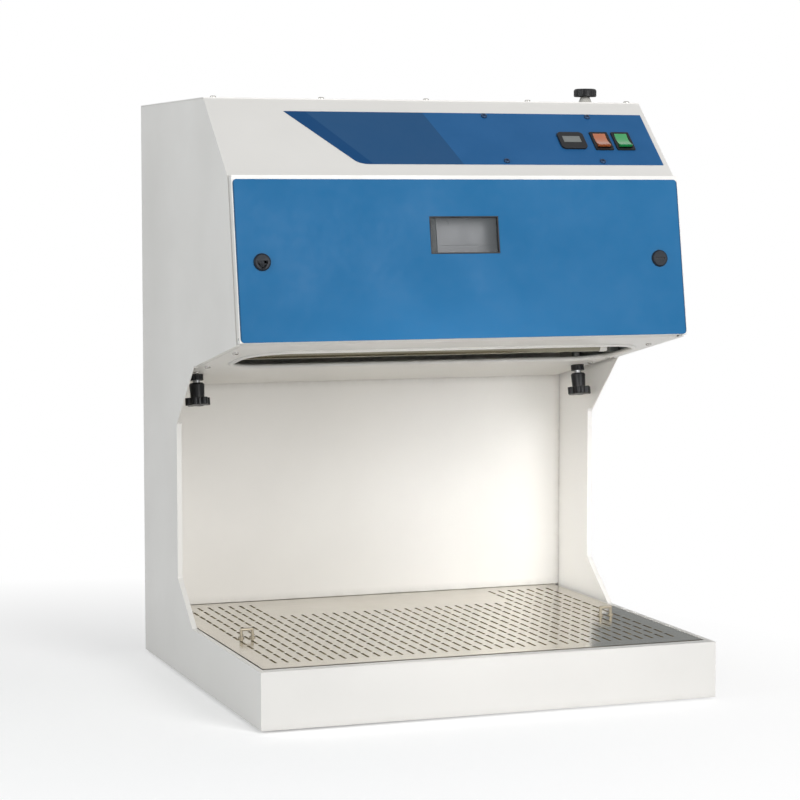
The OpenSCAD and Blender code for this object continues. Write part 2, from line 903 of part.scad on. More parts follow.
module door_overlay() {
    color(blue)
        door_place()
            difference() {
                translate([0, -door_t - door_skin_t, (pan_h + skin_low - skin_top) / 2])
                    upright(door_skin_t)
                        round_rect(pan_w - 2 * skin_edge, pan_h - skin_low - skin_top, 5);
                for (sx = [-1, 1])
                    translate([sx * latch_x, -door_t, latch_z])
                        rotate([90, 0, 0])
                            cylinder(d = latch_shaft_d + 2 * fit, h = 4 * sheet_t, center = true);
                translate([0, -door_t, window_z - door_gap])
                    cube([window_w, 4 * sheet_t, window_h], center = true);
            }
}

frame_wall = 1.6;
frame_depth = 5;

module window_frame() {
    color(black)
        door_place()
            translate([0, -door_t - door_skin_t, window_z - door_gap])
                difference() {
                    upright(frame_depth)
                        square([window_w - 0.2, window_h - 0.2], center = true);
                    translate([0, -1, 0])
                        upright(frame_depth + 2)
                            square([window_w - 0.2 - 2 * frame_wall, window_h - 0.2 - 2 * frame_wall],
                                   center = true);
                }
}

module window_pane() {
    color([0.8, 0.85, 0.85, 0.35])
        door_place()
            translate([0, -door_t - door_skin_t + frame_depth - 2.5, window_z - door_gap])
                upright(2)
                    square([window_w - 0.2 - 2 * frame_wall, window_h - 0.2 - 2 * frame_wall],
                           center = true);
}

module hinge_brackets() {
    arm_r = 3.6;
    color(steel)
        door_place()
            for (sx = [-1, 1])
                translate([sx * bracket_x, 0, 0]) {
                    translate([0, hinge_y, hinge_z])
                        rotate([0, 90, 0])
                            cylinder(r = arm_r, h = bracket_t, center = true);
                    translate([-bracket_t / 2, hinge_y, hinge_z - arm_r])
                        cube([bracket_t, -hinge_y + door_gap / 4, 2 * arm_r]);
                    translate([sx * (pan_w / 2 - bracket_x) / 2, hinge_y, hinge_z])
                        rotate([0, 90, 0])
                            cylinder(d = pin_d, h = pan_w / 2 - bracket_x, center = true);
                }
}

cam_l = 30;
cam_w = 12;
cam_t = 2;
cam_y = sheet_t + 0.8;

module latch_place(sx) {
    door_place()
        translate([sx * latch_x, 0, latch_z])
            children();
}

module latch_button(sx) {
    reach = door_t + door_gap / 4 + cam_y;
    color(black)
        latch_place(sx)
            translate([0, -door_t - door_skin_t - 0.1, 0])
                rotate([90, 0, 0])
                    difference() {
                        rotate_extrude()
                            polygon([[0, -reach - door_skin_t - 0.1 - cam_t], [latch_shaft_d / 2 - 1.5,
                                     -reach - door_skin_t - 0.1 - cam_t],
                                     [latch_shaft_d / 2 - 1.5, -reach - door_skin_t],
                                     [latch_shaft_d / 2, -reach - door_skin_t], [latch_shaft_d / 2, 0],
                                     [latch_d / 2, 0], [latch_d / 2, 1.6], [latch_d / 2 - 1.6, 3],
                                     [0, 3]]);
                        translate([0, 0, 3])
                            cube([latch_d * 0.55, 2.4, 2.4], center = true);
                    }
}

// Cam bar on the end of a latch; it hangs up the door at rest and turns behind the side flange.
module latch_cam(sx) {
    color(steel)
        latch_place(sx)
            translate([0, door_gap / 4 + cam_y, 0])
                upright(cam_t)
                    difference() {
                        union() {
                            circle(d = cam_w);
                            translate([-cam_w / 2, 0])
                                square([cam_w, cam_l - cam_w / 2]);
                            translate([0, cam_l - cam_w / 2])
                                circle(d = cam_w);
                        }
                        circle(d = latch_shaft_d - 3);
                    }
}

module latch_left() {
    latch_button(-1);
}

module latch_right() {
    latch_button(1);
}

module latch_cam_left() {
    latch_cam(-1);
}

module latch_cam_right() {
    latch_cam(1);
}

// Filter and blower

module filter_rails() {
    section = [[0, 0], [26, 0], [26, -rail_t], [rail_t, -rail_t], [rail_t, -filter_low + sheet_t],
               [0, -filter_low + sheet_t]];
    color(steel)
        on_soffit()
            for (sx = [0, 1])
                mirror([sx, 0, 0])
                    translate([-knob_x - 12, filter_front + filter_d, filter_low])
                        rotate([90, 0, 0])
                            linear_extrude(filter_d - 4)
                                polygon(section);
}

module filter_frame() {
    color([0.8, 0.8, 0.78])
        on_soffit()
            translate([0, filter_front + filter_d / 2, filter_low])
                linear_extrude(filter_h)
                    difference() {
                        square([filter_w, filter_d], center = true);
                        square([filter_w - 2 * filter_wall, filter_d - 2 * filter_wall], center = true);
                    }
}

module filter_pleats() {
    bed_w = filter_w - 2 * filter_wall;
    pitch = bed_w / pleats;
    low = 6;
    high = filter_h - 6;
    under = [for (i = [0:2 * pleats]) [-bed_w / 2 + i * pitch / 2, i % 2 == 0 ? low : low + 26]];
    over = [for (i = [2 * pleats:-1:0]) [-bed_w / 2 + i * pitch / 2, i % 2 == 0 ? high - 26 : high]];
    color([0.12, 0.12, 0.12])
        on_soffit()
            translate([0, filter_front + filter_d - filter_wall, filter_low])
                rotate([90, 0, 0])
                    linear_extrude(filter_d - 2 * filter_wall)
                        polygon(concat(under, over));
}

grip_t = 2;
grip_w = window_w;
grip_h = window_h + 16;
grip_x = 18;

module filter_grip_plate() {
    color([0.6, 0.61, 0.6])
        on_soffit()
            translate([grip_x, filter_front, window_z + 5])
                difference() {
                    translate([0, -grip_t, 0])
                        upright(grip_t)
                            round_rect(grip_w, grip_h, 3);
                    translate([0, -grip_t, -grip_h * 0.27])
                        upright(grip_t * 0.6)
                            square([grip_w - 10, 6], center = true);
                    translate([-grip_w * 0.35, -grip_t, grip_h * 0.22])
                        rotate([90, 0, 0])
                            cylinder(d = 6, h = grip_t, center = true);
                }
}

module filter_seal() {
    color([0.2, 0.2, 0.2])
        on_soffit()
            translate([0, filter_front + filter_d / 2, filter_low + filter_h])
                linear_extrude(seal_h)
                    difference() {
                        square([filter_w - 2, filter_d - 2], center = true);
                        square([filter_w - 2 * filter_wall + 2, filter_d - 2 * filter_wall + 2],
                               center = true);
                    }
}

blower_v = soffit_back - 162.58;
scroll_h = 78;
scroll_t = 1.5;
inlet_ring_d = wheel_d * 0.62;

module plenum_plate() {
    color(steel)
        on_soffit()
            difference() {
                union() {
                    translate([-skin_gap_w / 2, filter_front, plate_w])
                        cube([skin_gap_w, soffit_back - filter_front - 2, sheet_t]);
                    for (sx = [-1, 1])
                        translate([sx * (skin_gap_w - sheet_t) / 2 - sheet_t / 2, filter_front, plate_w])
                            cube([sheet_t, soffit_back - filter_front - 2, 18]);
                }
                translate([0, blower_v, plate_w])
                    scroll_outlet();
            }
}

// Spiral of the scroll: its radius grows evenly over the turn.
scroll_r = wheel_d / 2 + 8;
scroll_growth = 46;
function spiral(d) =
    [for (i = [0:24]) let (a = i * 15, r = scroll_r + scroll_growth * i / 24 + d)
        r * [cos(a), sin(a)]];

module scroll_outline(d) {
    end_r = scroll_r + scroll_growth;
    polygon(spiral(d));
    translate([scroll_r - 12, -70])
        square([end_r - scroll_r + 12 + d, 72]);
}

// Hole through the scroll's floor and the plate under it.
module scroll_outlet() {
    translate([scroll_r - 8, -66, -4 * scroll_t])
        cube([scroll_growth + 4, 42, 8 * scroll_t]);
}

module blower_scroll() {
    color([0.75, 0.76, 0.76])
        on_soffit()
            translate([0, blower_v, plate_w + sheet_t]) {
                difference() {
                    linear_extrude(scroll_h)
                        scroll_outline(scroll_t);
                    translate([0, 0, scroll_t])
                        linear_extrude(scroll_h - 2 * scroll_t)
                            scroll_outline(0);
                    translate([0, 0, scroll_h - 2 * scroll_t])
                        cylinder(d = inlet_ring_d, h = 4 * scroll_t);
                    translate([0, 0, -scroll_t])
                        cylinder(d = 96, h = 3 * scroll_t);
                    scroll_outlet();
                }
            }
}

motor_d = 92;
motor_h = 46;
shaft_d = 12;

module blower_motor() {
    color([0.25, 0.26, 0.27])
        on_soffit()
            translate([0, blower_v, plate_w + sheet_t]) {
                cylinder(d = motor_d, h = 3);
                cylinder(d = motor_d * 0.8, h = 16);
                cylinder(d = shaft_d, h = motor_h);
            }
}

module blower_wheel() {
    inner_r = wheel_d * 0.33;
    outer_r = wheel_d / 2 - 4;
    color([0.3, 0.32, 0.34])
        on_soffit()
            translate([0, blower_v, plate_w + sheet_t + 6]) {
                difference() {
                    union() {
                        rotate_extrude()
                            polygon([[motor_d * 0.4 + 3, 0], [outer_r, 0], [outer_r, 2],
                                     [motor_d * 0.4 + 6, 2], [motor_d * 0.4 + 4, 18],
                                     [0, 22], [0, 16], [motor_d * 0.4 + 1, 13]]);
                        cylinder(d = shaft_d + 12, h = motor_h - 12);
                    }
                    translate([0, 0, -1])
                        cylinder(d = shaft_d + 2 * turn_gap, h = motor_h - 5);
                    translate([0, 0, -1])
                        cylinder(d = motor_d * 0.8 + 2, h = 12);
                }
                for (k = [0:blades - 1])
                    rotate(k * 360 / blades)
                        linear_extrude(wheel_h - 2)
                            polygon(folded([for (i = [0:5])
                                let (r = inner_r + (outer_r - inner_r - 2) * i / 5)
                                r * [cos(i * 7), sin(i * 7)]], 1.6));
                translate([0, 0, wheel_h - 4])
                    linear_extrude(3)
                        difference() {
                            circle(outer_r);
                            circle(inner_r + 2);
                        }
            }
}

// Clamp knobs under the soffit

collar_d = 18.6;
collar_h = 8;
neck_h = 3.5;
hub_d = 20.6;
hub_h = 21;
star_h = 10;

module clamp_place(sx) {
    on_soffit()
        translate([sx * knob_x, knob_v, 0])
            children();
}

module clamp_collars() {
    color(black)
        for (sx = [-1, 1])
            clamp_place(sx)
                translate([0, 0, -collar_h])
                    difference() {
                        rotate_extrude()
                            polygon([[stud_d / 2 + turn_gap, 0], [collar_d / 2, 0],
                                     [collar_d / 2, collar_h], [stud_d / 2 + 1 + fit, collar_h],
                                     [stud_d / 2 + 1 + fit, collar_h - 1],
                                     [stud_d / 2 + turn_gap, collar_h - 1]]);
                        for (k = [0:5])
                            rotate(k * 60)
                                translate([collar_d / 2 + 1, 0, -1])
                                    cylinder(r = 1.6, h = collar_h + 2);
                    }
}

module clamp_knob(sx) {
    lobes = 6;
    color(black)
        clamp_place(sx)
            translate([0, 0, -collar_h - neck_h]) {
                difference() {
                    union() {
                        rotate_extrude()
                            polygon([[0, 0], [hub_d / 2 - 2, 0], [hub_d / 2, -2],
                                     [hub_d / 2 - 1, -hub_h], [0, -hub_h]]);
                        translate([0, 0, -hub_h + 1 - star_h])
                            linear_extrude(star_h) {
                                circle(star_d * 0.36);
                                for (k = [0:lobes - 1])
                                    rotate(k * 360 / lobes)
                                        translate([star_d * 0.36, 0])
                                            circle(star_d * 0.14);
                            }
                    }
                    translate([0, 0, -hub_h + 4])
                        cylinder(d = stud_d, h = hub_h);
                }
            }
}

module clamp_stud(sx) {
    bottom = collar_h + neck_h + hub_h - 4;
    color(steel)
        clamp_place(sx)
            translate([0, 0, -bottom])
                cylinder(d = stud_d, h = bottom + filter_low - rail_t - fit);
}

module clamp_knob_left() {
    clamp_knob(-1);
}

module clamp_knob_right() {
    clamp_knob(1);
}

module clamp_stud_left() {
    clamp_stud(-1);
}

module clamp_stud_right() {
    clamp_stud(1);
}

// Rear inlet and screws

module power_inlet() {
    color(black)
        inlet_place()
            difference() {
                union() {
                    upright(inlet_rim)
                        round_rect(inlet_w + 8, inlet_h + 8, 3);
                    translate([0, -12, 0])
                        cube([inlet_w - 2 * fit, 24, inlet_h - 2 * fit], center = true);
                }
                translate([0, 0, 8])
                    cube([inlet_w - 6, 24, 20], center = true);
            }
}

module roof_screws() {
    color(steel)
        roof_screw_places()
            screw(sheet_t * 2 + 3);
}

module overlay_screws() {
    color(steel)
        on_panel()
            translate([0, -overlay_t, 0])
                overlay_screw_places()
                    screw(overlay_t + sheet_t + 3);
}

module soffit_screws() {
    color(steel)
        on_soffit()
            soffit_screw_places()
                screw(sheet_t + 4);
}

module rear_screws() {
    color(steel)
        rear_screw_places()
            screw(sheet_t - 0.1);
}

left_side_panel();
right_side_panel();
rear_panel();
roof_panel();
base_pan();
feet();
tray_rails();
pre_filter();
work_surface();
tray_handles();
inner_back_wall();
head_soffit();
lamp_tube();
lamp_holders();
control_panel();
control_overlay();
switch_bodies();
fan_rocker();
light_rocker();
hour_counter();
counter_display();
speed_control();
speed_knob();
filter_door();
door_overlay();
window_frame();
window_pane();
hinge_brackets();
latch_left();
latch_right();
latch_cam_left();
latch_cam_right();
filter_rails();
filter_frame();
filter_pleats();
filter_grip_plate();
filter_seal();
plenum_plate();
blower_scroll();
blower_wheel();
blower_motor();
clamp_collars();
clamp_knob_left();
clamp_knob_right();
clamp_stud_left();
clamp_stud_right();
power_inlet();
roof_screws();
overlay_screws();
soffit_screws();
rear_screws();
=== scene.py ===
"""Downflow workstation: materials, rounded sheet edges, printed fields, fittings, stage and camera."""
import math

import bmesh
import bpy
from mathutils import Matrix, Vector


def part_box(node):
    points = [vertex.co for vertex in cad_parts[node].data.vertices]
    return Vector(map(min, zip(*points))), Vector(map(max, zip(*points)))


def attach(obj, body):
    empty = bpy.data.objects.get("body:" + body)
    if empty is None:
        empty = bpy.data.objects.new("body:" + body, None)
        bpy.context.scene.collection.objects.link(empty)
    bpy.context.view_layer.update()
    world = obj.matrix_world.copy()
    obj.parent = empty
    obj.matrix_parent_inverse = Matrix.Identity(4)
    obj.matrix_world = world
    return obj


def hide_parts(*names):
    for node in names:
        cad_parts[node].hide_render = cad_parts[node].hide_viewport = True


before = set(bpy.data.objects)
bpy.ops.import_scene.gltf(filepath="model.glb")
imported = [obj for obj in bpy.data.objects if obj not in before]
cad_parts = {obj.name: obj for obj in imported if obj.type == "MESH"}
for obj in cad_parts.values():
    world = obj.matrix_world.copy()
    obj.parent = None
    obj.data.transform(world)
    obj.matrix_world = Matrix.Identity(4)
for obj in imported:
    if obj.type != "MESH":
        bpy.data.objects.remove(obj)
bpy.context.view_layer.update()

bl_info = {
    "name": "Downflow workstation dressing",
    "version": (1, 0, 0),
    "blender": (4, 5, 0),
    "location": "3D View > Sidebar > Workstation",
    "description": "Finishes, rounded edges and small fittings for the downflow workstation",
    "category": "Object",
}

MM = 0.001
FRONT_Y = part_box("base_pan")[0][1]

# Places of the tilted faces, as the solids have them.
DOOR_LEAN = math.radians(9.8)
PANEL_LEAN = math.radians(47.8)
SOFFIT_TILT = math.radians(11)
HEAD_CORNER = Vector((0, FRONT_Y + 100 * MM, 463 * MM))
DOOR_H = 212 * MM
PANEL_FOOT = HEAD_CORNER + Vector((0, math.sin(DOOR_LEAN), math.cos(DOOR_LEAN))) * DOOR_H
PANEL_LEN = (770.5 * MM - PANEL_FOOT.z) / math.cos(PANEL_LEAN)

ON_DOOR = Matrix.Translation(HEAD_CORNER) @ Matrix.Rotation(-DOOR_LEAN, 4, "X")
ON_PANEL = Matrix.Translation(PANEL_FOOT) @ Matrix.Rotation(-PANEL_LEAN, 4, "X")
ON_SOFFIT = Matrix.Translation(HEAD_CORNER) @ Matrix.Rotation(-SOFFIT_TILT, 4, "X")


def srgb(red, green, blue):
    """Linear colour of a screen colour given from 0 to 255."""
    def one(value):
        value /= 255
        return value / 12.92 if value <= 0.04045 else ((value + 0.055) / 1.055) ** 2.4
    return (one(red), one(green), one(blue), 1.0)


# Settings that a user would change

class WorkstationFinish(bpy.types.PropertyGroup):
    """Colours of the finishes"""
    coat: bpy.props.FloatVectorProperty(
        name="Powder coat", description="White powder coat of the folded sheets",
        subtype="COLOR", size=4, min=0, max=1, default=srgb(240, 238, 234))
    door: bpy.props.FloatVectorProperty(
        name="Door face", description="Blue face sheet of the filter door",
        subtype="COLOR", size=4, min=0, max=1, default=srgb(28, 108, 160))
    overlay: bpy.props.FloatVectorProperty(
        name="Overlay", description="Main blue of the control overlay",
        subtype="COLOR", size=4, min=0, max=1, default=srgb(40, 99, 153))
    overlay_dark: bpy.props.FloatVectorProperty(
        name="Overlay band", description="Darker band at the overlay's slanted end",
        subtype="COLOR", size=4, min=0, max=1, default=srgb(10, 70, 120))
    overlay_pale: bpy.props.FloatVectorProperty(
        name="Overlay field", description="Paler field in the middle of the overlay",
        subtype="COLOR", size=4, min=0, max=1, default=srgb(36, 83, 128))
    steel: bpy.props.FloatVectorProperty(
        name="Stainless", description="Bright steel of the work surface",
        subtype="COLOR", size=4, min=0, max=1, default=srgb(207, 201, 189))


class WorkstationSizes(bpy.types.PropertyGroup):
    """Sizes of the dressing"""
    edge: bpy.props.FloatProperty(
        name="Sheet edge", description="Rounding of the folded sheets' edges",
        subtype="DISTANCE", unit="LENGTH", min=0.0001, max=0.0007, default=0.0005)
    mould: bpy.props.FloatProperty(
        name="Moulded edge", description="Rounding of the moulded plastic edges",
        subtype="DISTANCE", unit="LENGTH", min=0.0001, max=0.002, default=0.0007)
    grain: bpy.props.FloatProperty(
        name="Grain depth", description="Depth of the powder coat's grain",
        subtype="DISTANCE", unit="LENGTH", min=0, max=0.0002, default=0.00003, precision=6)


def finish_settings():
    """The scene's colours of the finishes."""
    return bpy.context.scene.workstation_finish


def size_settings():
    """The scene's sizes of the dressing."""
    return bpy.context.scene.workstation_sizes


# Shared effects

def new_group(name, inputs, outputs):
    """Empty shader node group with the given sockets; returns the group, its input and its output."""
    group = bpy.data.node_groups.new(name, "ShaderNodeTree")
    kinds = {"value": "NodeSocketFloat", "colour": "NodeSocketColor", "vector": "NodeSocketVector"}
    for label, kind, start in inputs:
        socket = group.interface.new_socket(label, in_out="INPUT", socket_type=kinds[kind])
        if start is not None:
            socket.default_value = start
    for label, kind in outputs:
        group.interface.new_socket(label, in_out="OUTPUT", socket_type=kinds[kind])
    return group, group.nodes.new("NodeGroupInput"), group.nodes.new("NodeGroupOutput")


class Wires:
    """Short way to place and join nodes in one tree."""

    def __init__(self, tree):
        self.tree = tree

    def node(self, kind, **values):
        made = self.tree.nodes.new(kind)
        for key, value in values.items():
            setattr(made, key, value)
        return made

    def feed(self, socket, value):
        """Join a socket to another one, or give it a constant."""
        if isinstance(value, bpy.types.NodeSocket):
            self.tree.links.new(value, socket)
        else:
            socket.default_value = value

    def maths(self, operation, first, second=0.0):
        made = self.node("ShaderNodeMath", operation=operation)
        self.feed(made.inputs[0], first)
        self.feed(made.inputs[1], second)
        return made.outputs[0]

    def spread(self, value, low, high, to_low=0.0, to_high=1.0):
        """Carry a value's range onto another one, held at its ends."""
        made = self.node("ShaderNodeMapRange", clamp=True)
        for socket, number in zip(made.inputs, (value, low, high, to_low, to_high)):
            self.feed(socket, number)
        return made.outputs[0]

    def blend(self, factor, first, second, mode="MIX"):
        made = self.node("ShaderNodeMix", data_type="RGBA", blend_type=mode)
        self.feed(made.inputs[0], factor)
        self.feed(made.inputs[6], first)
        self.feed(made.inputs[7], second)
        return made.outputs[2]

    def noise(self, vector, scale, detail=2.0, roughness=0.5):
        made = self.node("ShaderNodeTexNoise")
        self.feed(made.inputs["Vector"], vector)
        self.feed(made.inputs["Scale"], scale)
        made.inputs["Detail"].default_value = detail
        made.inputs["Roughness"].default_value = roughness
        return made.outputs["Fac"]

    def group(self, tree, **values):
        made = self.node("ShaderNodeGroup", node_tree=tree)
        for key, value in values.items():
            self.feed(made.inputs[key.replace("_", " ")], value)
        return made


def fine_grain_group():
    """Small bumps of a sprayed or moulded surface, as a height from 0 to 1."""
    group, source, result = new_group(
        "Fine grain", [("Place", "vector", None), ("Scale", "value", 900.0)], [("Height", "value")])
    wires = Wires(group)
    small = wires.noise(source.outputs["Place"], source.outputs["Scale"], 2, 0.6)
    broad = wires.noise(source.outputs["Place"], wires.maths("MULTIPLY", source.outputs["Scale"], 0.17), 1)
    total = wires.maths("ADD", wires.maths("MULTIPLY", small, 0.7), wires.maths("MULTIPLY", broad, 0.3))
    wires.feed(result.inputs["Height"], total)
    return group


def tone_drift_group():
    """Slow change of a colour over the surface."""
    group, source, result = new_group(
        "Tone drift", [("Place", "vector", None), ("Colour", "colour", None), ("Other", "colour", None),
                       ("Scale", "value", 6.0), ("Amount", "value", 0.3)],
        [("Colour", "colour")])
    wires = Wires(group)
    patch = wires.noise(source.outputs["Place"], source.outputs["Scale"], 4, 0.55)
    mask = wires.maths("MULTIPLY", wires.spread(patch, 0.42, 0.68), source.outputs["Amount"])
    wires.feed(result.inputs["Colour"],
               wires.blend(mask, source.outputs["Colour"], source.outputs["Other"]))
    return group


def corner_dust_and_shade_group():
    """Colour mixed into closed-in places, found from how closed in a point is: painted shade where that
    colour is darker than the surface, dust where it is paler.
    """
    group, source, result = new_group(
        "Corner dust and shade", [("Place", "vector", None), ("Colour", "colour", None), ("Dust", "colour", None),
                        ("Reach", "value", 0.02), ("Amount", "value", 0.3)],
        [("Colour", "colour")])
    wires = Wires(group)
    closed = wires.node("ShaderNodeAmbientOcclusion", samples=6)
    wires.feed(closed.inputs["Distance"], source.outputs["Reach"])
    shut = wires.spread(closed.outputs["AO"], 0.35, 0.95, 1.0, 0.0)
    patch = wires.spread(wires.noise(source.outputs["Place"], 60.0, 3, 0.6), 0.3, 0.7, 0.5, 1.0)
    # Closed-in places take the hollow colour: painted shade on pale surfaces, dust on dark ones.
    mask = wires.maths("MULTIPLY", wires.maths("MULTIPLY", shut, patch), source.outputs["Amount"])
    wires.feed(result.inputs["Colour"],
               wires.blend(mask, source.outputs["Colour"], source.outputs["Dust"]))
    return group


def edge_rub_group():
    """Edges that hands and cloths have rubbed, found from the rounded normal."""
    group, source, result = new_group(
        "Edge rub", [("Place", "vector", None), ("Radius", "value", 0.0008), ("Amount", "value", 0.5)],
        [("Mask", "value")])
    wires = Wires(group)
    rounded = wires.node("ShaderNodeBevel", samples=4)
    wires.feed(rounded.inputs["Radius"], source.outputs["Radius"])
    flat = wires.node("ShaderNodeNewGeometry")
    dot = wires.node("ShaderNodeVectorMath", operation="DOT_PRODUCT")
    wires.feed(dot.inputs[0], rounded.outputs[0])
    wires.feed(dot.inputs[1], flat.outputs["Normal"])
    edge = wires.spread(dot.outputs["Value"], 0.93, 0.995, 1.0, 0.0)
    patch = wires.spread(wires.noise(source.outputs["Place"], 140.0, 3, 0.6), 0.42, 0.62)
    wires.feed(result.inputs["Mask"],
               wires.maths("MULTIPLY", wires.maths("MULTIPLY", edge, patch), source.outputs["Amount"]))
    return group


def rolled_lines_group():
    """Fine lines of rolled or brushed metal along one direction."""
    group, source, result = new_group(
        "Rolled lines", [("Place", "vector", None), ("Stretch", "vector", (6.0, 700.0, 700.0)),
                         ("Depth", "value", 1.0)],
        [("Height", "value"), ("Mask", "value")])
    wires = Wires(group)
    scaled = wires.node("ShaderNodeVectorMath", operation="MULTIPLY")
    wires.feed(scaled.inputs[0], source.outputs["Place"])
    wires.feed(scaled.inputs[1], source.outputs["Stretch"])
    fine = wires.noise(scaled.outputs[0], 1.0, 3, 0.65)
    wires.feed(result.inputs["Height"], wires.maths("MULTIPLY", fine, source.outputs["Depth"]))
    wires.feed(result.inputs["Mask"], wires.spread(fine, 0.35, 0.65))
    return group


def wipe_marks_group():
    """Broad wipe marks and faint prints that change how glossy a surface is."""
    group, source, result = new_group(
        "Wipe marks", [("Place", "vector", None), ("Low", "value", 0.3), ("High", "value", 0.45),
                       ("Scale", "value", 9.0)],
        [("Roughness", "value")])
    wires = Wires(group)
    broad = wires.noise(source.outputs["Place"], source.outputs["Scale"], 5, 0.6)
    spots = wires.noise(source.outputs["Place"], wires.maths("MULTIPLY", source.outputs["Scale"], 9.0), 2)
    mixed = wires.maths("ADD", wires.maths("MULTIPLY", broad, 0.75), wires.maths("MULTIPLY", spots, 0.25))
    wires.feed(result.inputs["Roughness"],
               wires.spread(mixed, 0.35, 0.65, source.outputs["Low"], source.outputs["High"]))
    return group


GROUP_MAKERS = {
    "grain": fine_grain_group, "drift": tone_drift_group, "dust_and_shade": corner_dust_and_shade_group,
    "rub": edge_rub_group, "lines": rolled_lines_group, "wipe": wipe_marks_group,
}
GROUPS = {}
MATERIALS = {}


def shared(name):
    """The node group of an effect, made at its first use."""
    if name not in GROUPS:
        GROUPS[name] = GROUP_MAKERS[name]()
    return GROUPS[name]


# Finishes

COAT_ROUGHNESS = 0.1


class Finish:
    """One material: its tree, its shader and the place on the object."""

    def __init__(self, name, metal=0.0, coat=0.0, specular=0.5, ior=1.5):
        self.material = bpy.data.materials.new(name)
        self.material.use_nodes = True
        self.wires = Wires(self.material.node_tree)
        self.shader = self.material.node_tree.nodes["Principled BSDF"]
        self.shader.inputs["Metallic"].default_value = metal
        self.shader.inputs["Coat Weight"].default_value = coat
        self.shader.inputs["Coat Roughness"].default_value = COAT_ROUGHNESS
        self.shader.inputs["Specular IOR Level"].default_value = specular
        self.shader.inputs["IOR"].default_value = ior
        self.place = self.wires.node("ShaderNodeTexCoord").outputs["Object"]
        MATERIALS[name] = self.material

    def colour(self, value):
        self.wires.feed(self.shader.inputs["Base Color"], value)

    def wiped(self, low, high, scale):
        """Roughness between two values, with wipe marks."""
        made = self.wires.group(shared("wipe"), Place=self.place, Low=low, High=high, Scale=scale)
        self.wires.feed(self.shader.inputs["Roughness"], made.outputs["Roughness"])

    def bump(self, height, depth):
        made = self.wires.node("ShaderNodeBump")
        made.inputs["Distance"].default_value = depth
        self.wires.feed(made.inputs["Height"], height)
        self.wires.feed(self.shader.inputs["Normal"], made.outputs["Normal"])

    def grained(self, scale, depth):
        made = self.wires.group(shared("grain"), Place=self.place, Scale=scale)
        self.bump(made.outputs["Height"], depth)

    def drifted(self, colour, other, scale, amount):
        made = self.wires.group(shared("drift"), Place=self.place, Colour=colour, Other=other,
                                Scale=scale, Amount=amount)
        return made.outputs["Colour"]

    def dusted_and_shaded(self, colour, dust_and_shade, reach, amount):
        made = self.wires.group(shared("dust_and_shade"), Place=self.place, Colour=colour, Dust=dust_and_shade,
                                Reach=reach, Amount=amount)
        return made.outputs["Colour"]


def darker(colour, share):
    """A share of a colour's brightness."""
    return tuple(value * share for value in colour[:3]) + (1.0,)


def powder_coat(name, colour, dust_and_shade=0.25):
    """Sprayed coat of the folded sheets, with a fine grain and with painted shade, plus some dust, in its
    closed-in corners.
    """
    made = Finish(name)
    tone = made.drifted(colour, darker(colour, 0.93), 5.0, 0.5)
    # Closed-in corners are pulled towards a darker brown: painted shade with some dust.
    made.colour(made.dusted_and_shaded(tone, srgb(120, 112, 98), 0.012, dust_and_shade))
    made.wiped(0.30, 0.46, 7.0)
    made.grained(850.0, size_settings().grain)
    return made


# Rim of painted shade on the door's face sheet, in the door's own plane.
FACE_LOW = 0.4 * MM
RIM_INNER = 0.7 * MM
RIM_OUTER = 2.2 * MM


def in_plane(made, base):
    """Place on a tilted face: x across, z up the face."""
    turned = made.wires.node("ShaderNodeMapping", vector_type="POINT")
    back = base.inverted()
    turned.inputs["Location"].default_value = back.to_translation()
    turned.inputs["Rotation"].default_value = back.to_euler()
    made.wires.feed(turned.inputs["Vector"], made.place)
    return turned.outputs[0]


def rim_shade_mask(made, place, half_width, low, top):
    """0 along the outline of a face, 1 inside it."""
    split = made.wires.node("ShaderNodeSeparateXYZ")
    made.wires.feed(split.inputs[0], place)
    beside = made.wires.maths("SUBTRACT", half_width, made.wires.maths("ABSOLUTE", split.outputs["X"]))
    over = made.wires.maths("SUBTRACT", split.outputs["Z"], low)
    under = made.wires.maths("SUBTRACT", top, split.outputs["Z"])
    nearest = made.wires.maths("MINIMUM", beside, made.wires.maths("MINIMUM", over, under))
    return made.wires.spread(nearest, RIM_INNER, RIM_OUTER)


def face_sheet(name, colour):
    """Printed face sheet of the door, with painted shade darkening it along its rim."""
    made = Finish(name, specular=0.15)
    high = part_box("door_overlay")[1]
    top = (high[2] - HEAD_CORNER.z) / math.cos(DOOR_LEAN)
    rim = rim_shade_mask(made, in_plane(made, ON_DOOR), high[0], FACE_LOW, top)
    face = made.drifted(colour, darker(colour, 0.9), 11.0, 0.4)
    # The rim is pulled to half the blue's brightness: painted shade.
    tone = made.wires.blend(rim, darker(colour, 0.5), face)
    made.colour(made.dusted_and_shaded(tone, srgb(110, 120, 130), 0.004, 0.2))
    made.wiped(0.42, 0.58, 11.0)
    made.grained(1400.0, 0.00001)
    return made


LINE_SOFT = 0.4 * MM


def line_mask(made, place, start, end):
    """1 on the right of a line on the panel, going from start to end in the panel's x and z."""
    direction = (Vector(end) - Vector(start)).normalized()
    normal = Vector((direction.y, -direction.x))
    dot = made.wires.node("ShaderNodeVectorMath", operation="DOT_PRODUCT")
    made.wires.feed(dot.inputs[0], place)
    dot.inputs[1].default_value = (normal.x, 0, normal.y)
    level = normal.dot(Vector(start))
    return made.wires.spread(dot.outputs["Value"], level - LINE_SOFT, level + LINE_SOFT)


# Slanted edges of the overlay's fields: x at the low end and at the top.
OVERLAY_TOP_GAP = 24 * MM
OVERLAY_LOW = 22 * MM
BAND_EDGE = (-108 * MM, -176 * MM)
FIELD_EDGE = (15 * MM, -15 * MM)


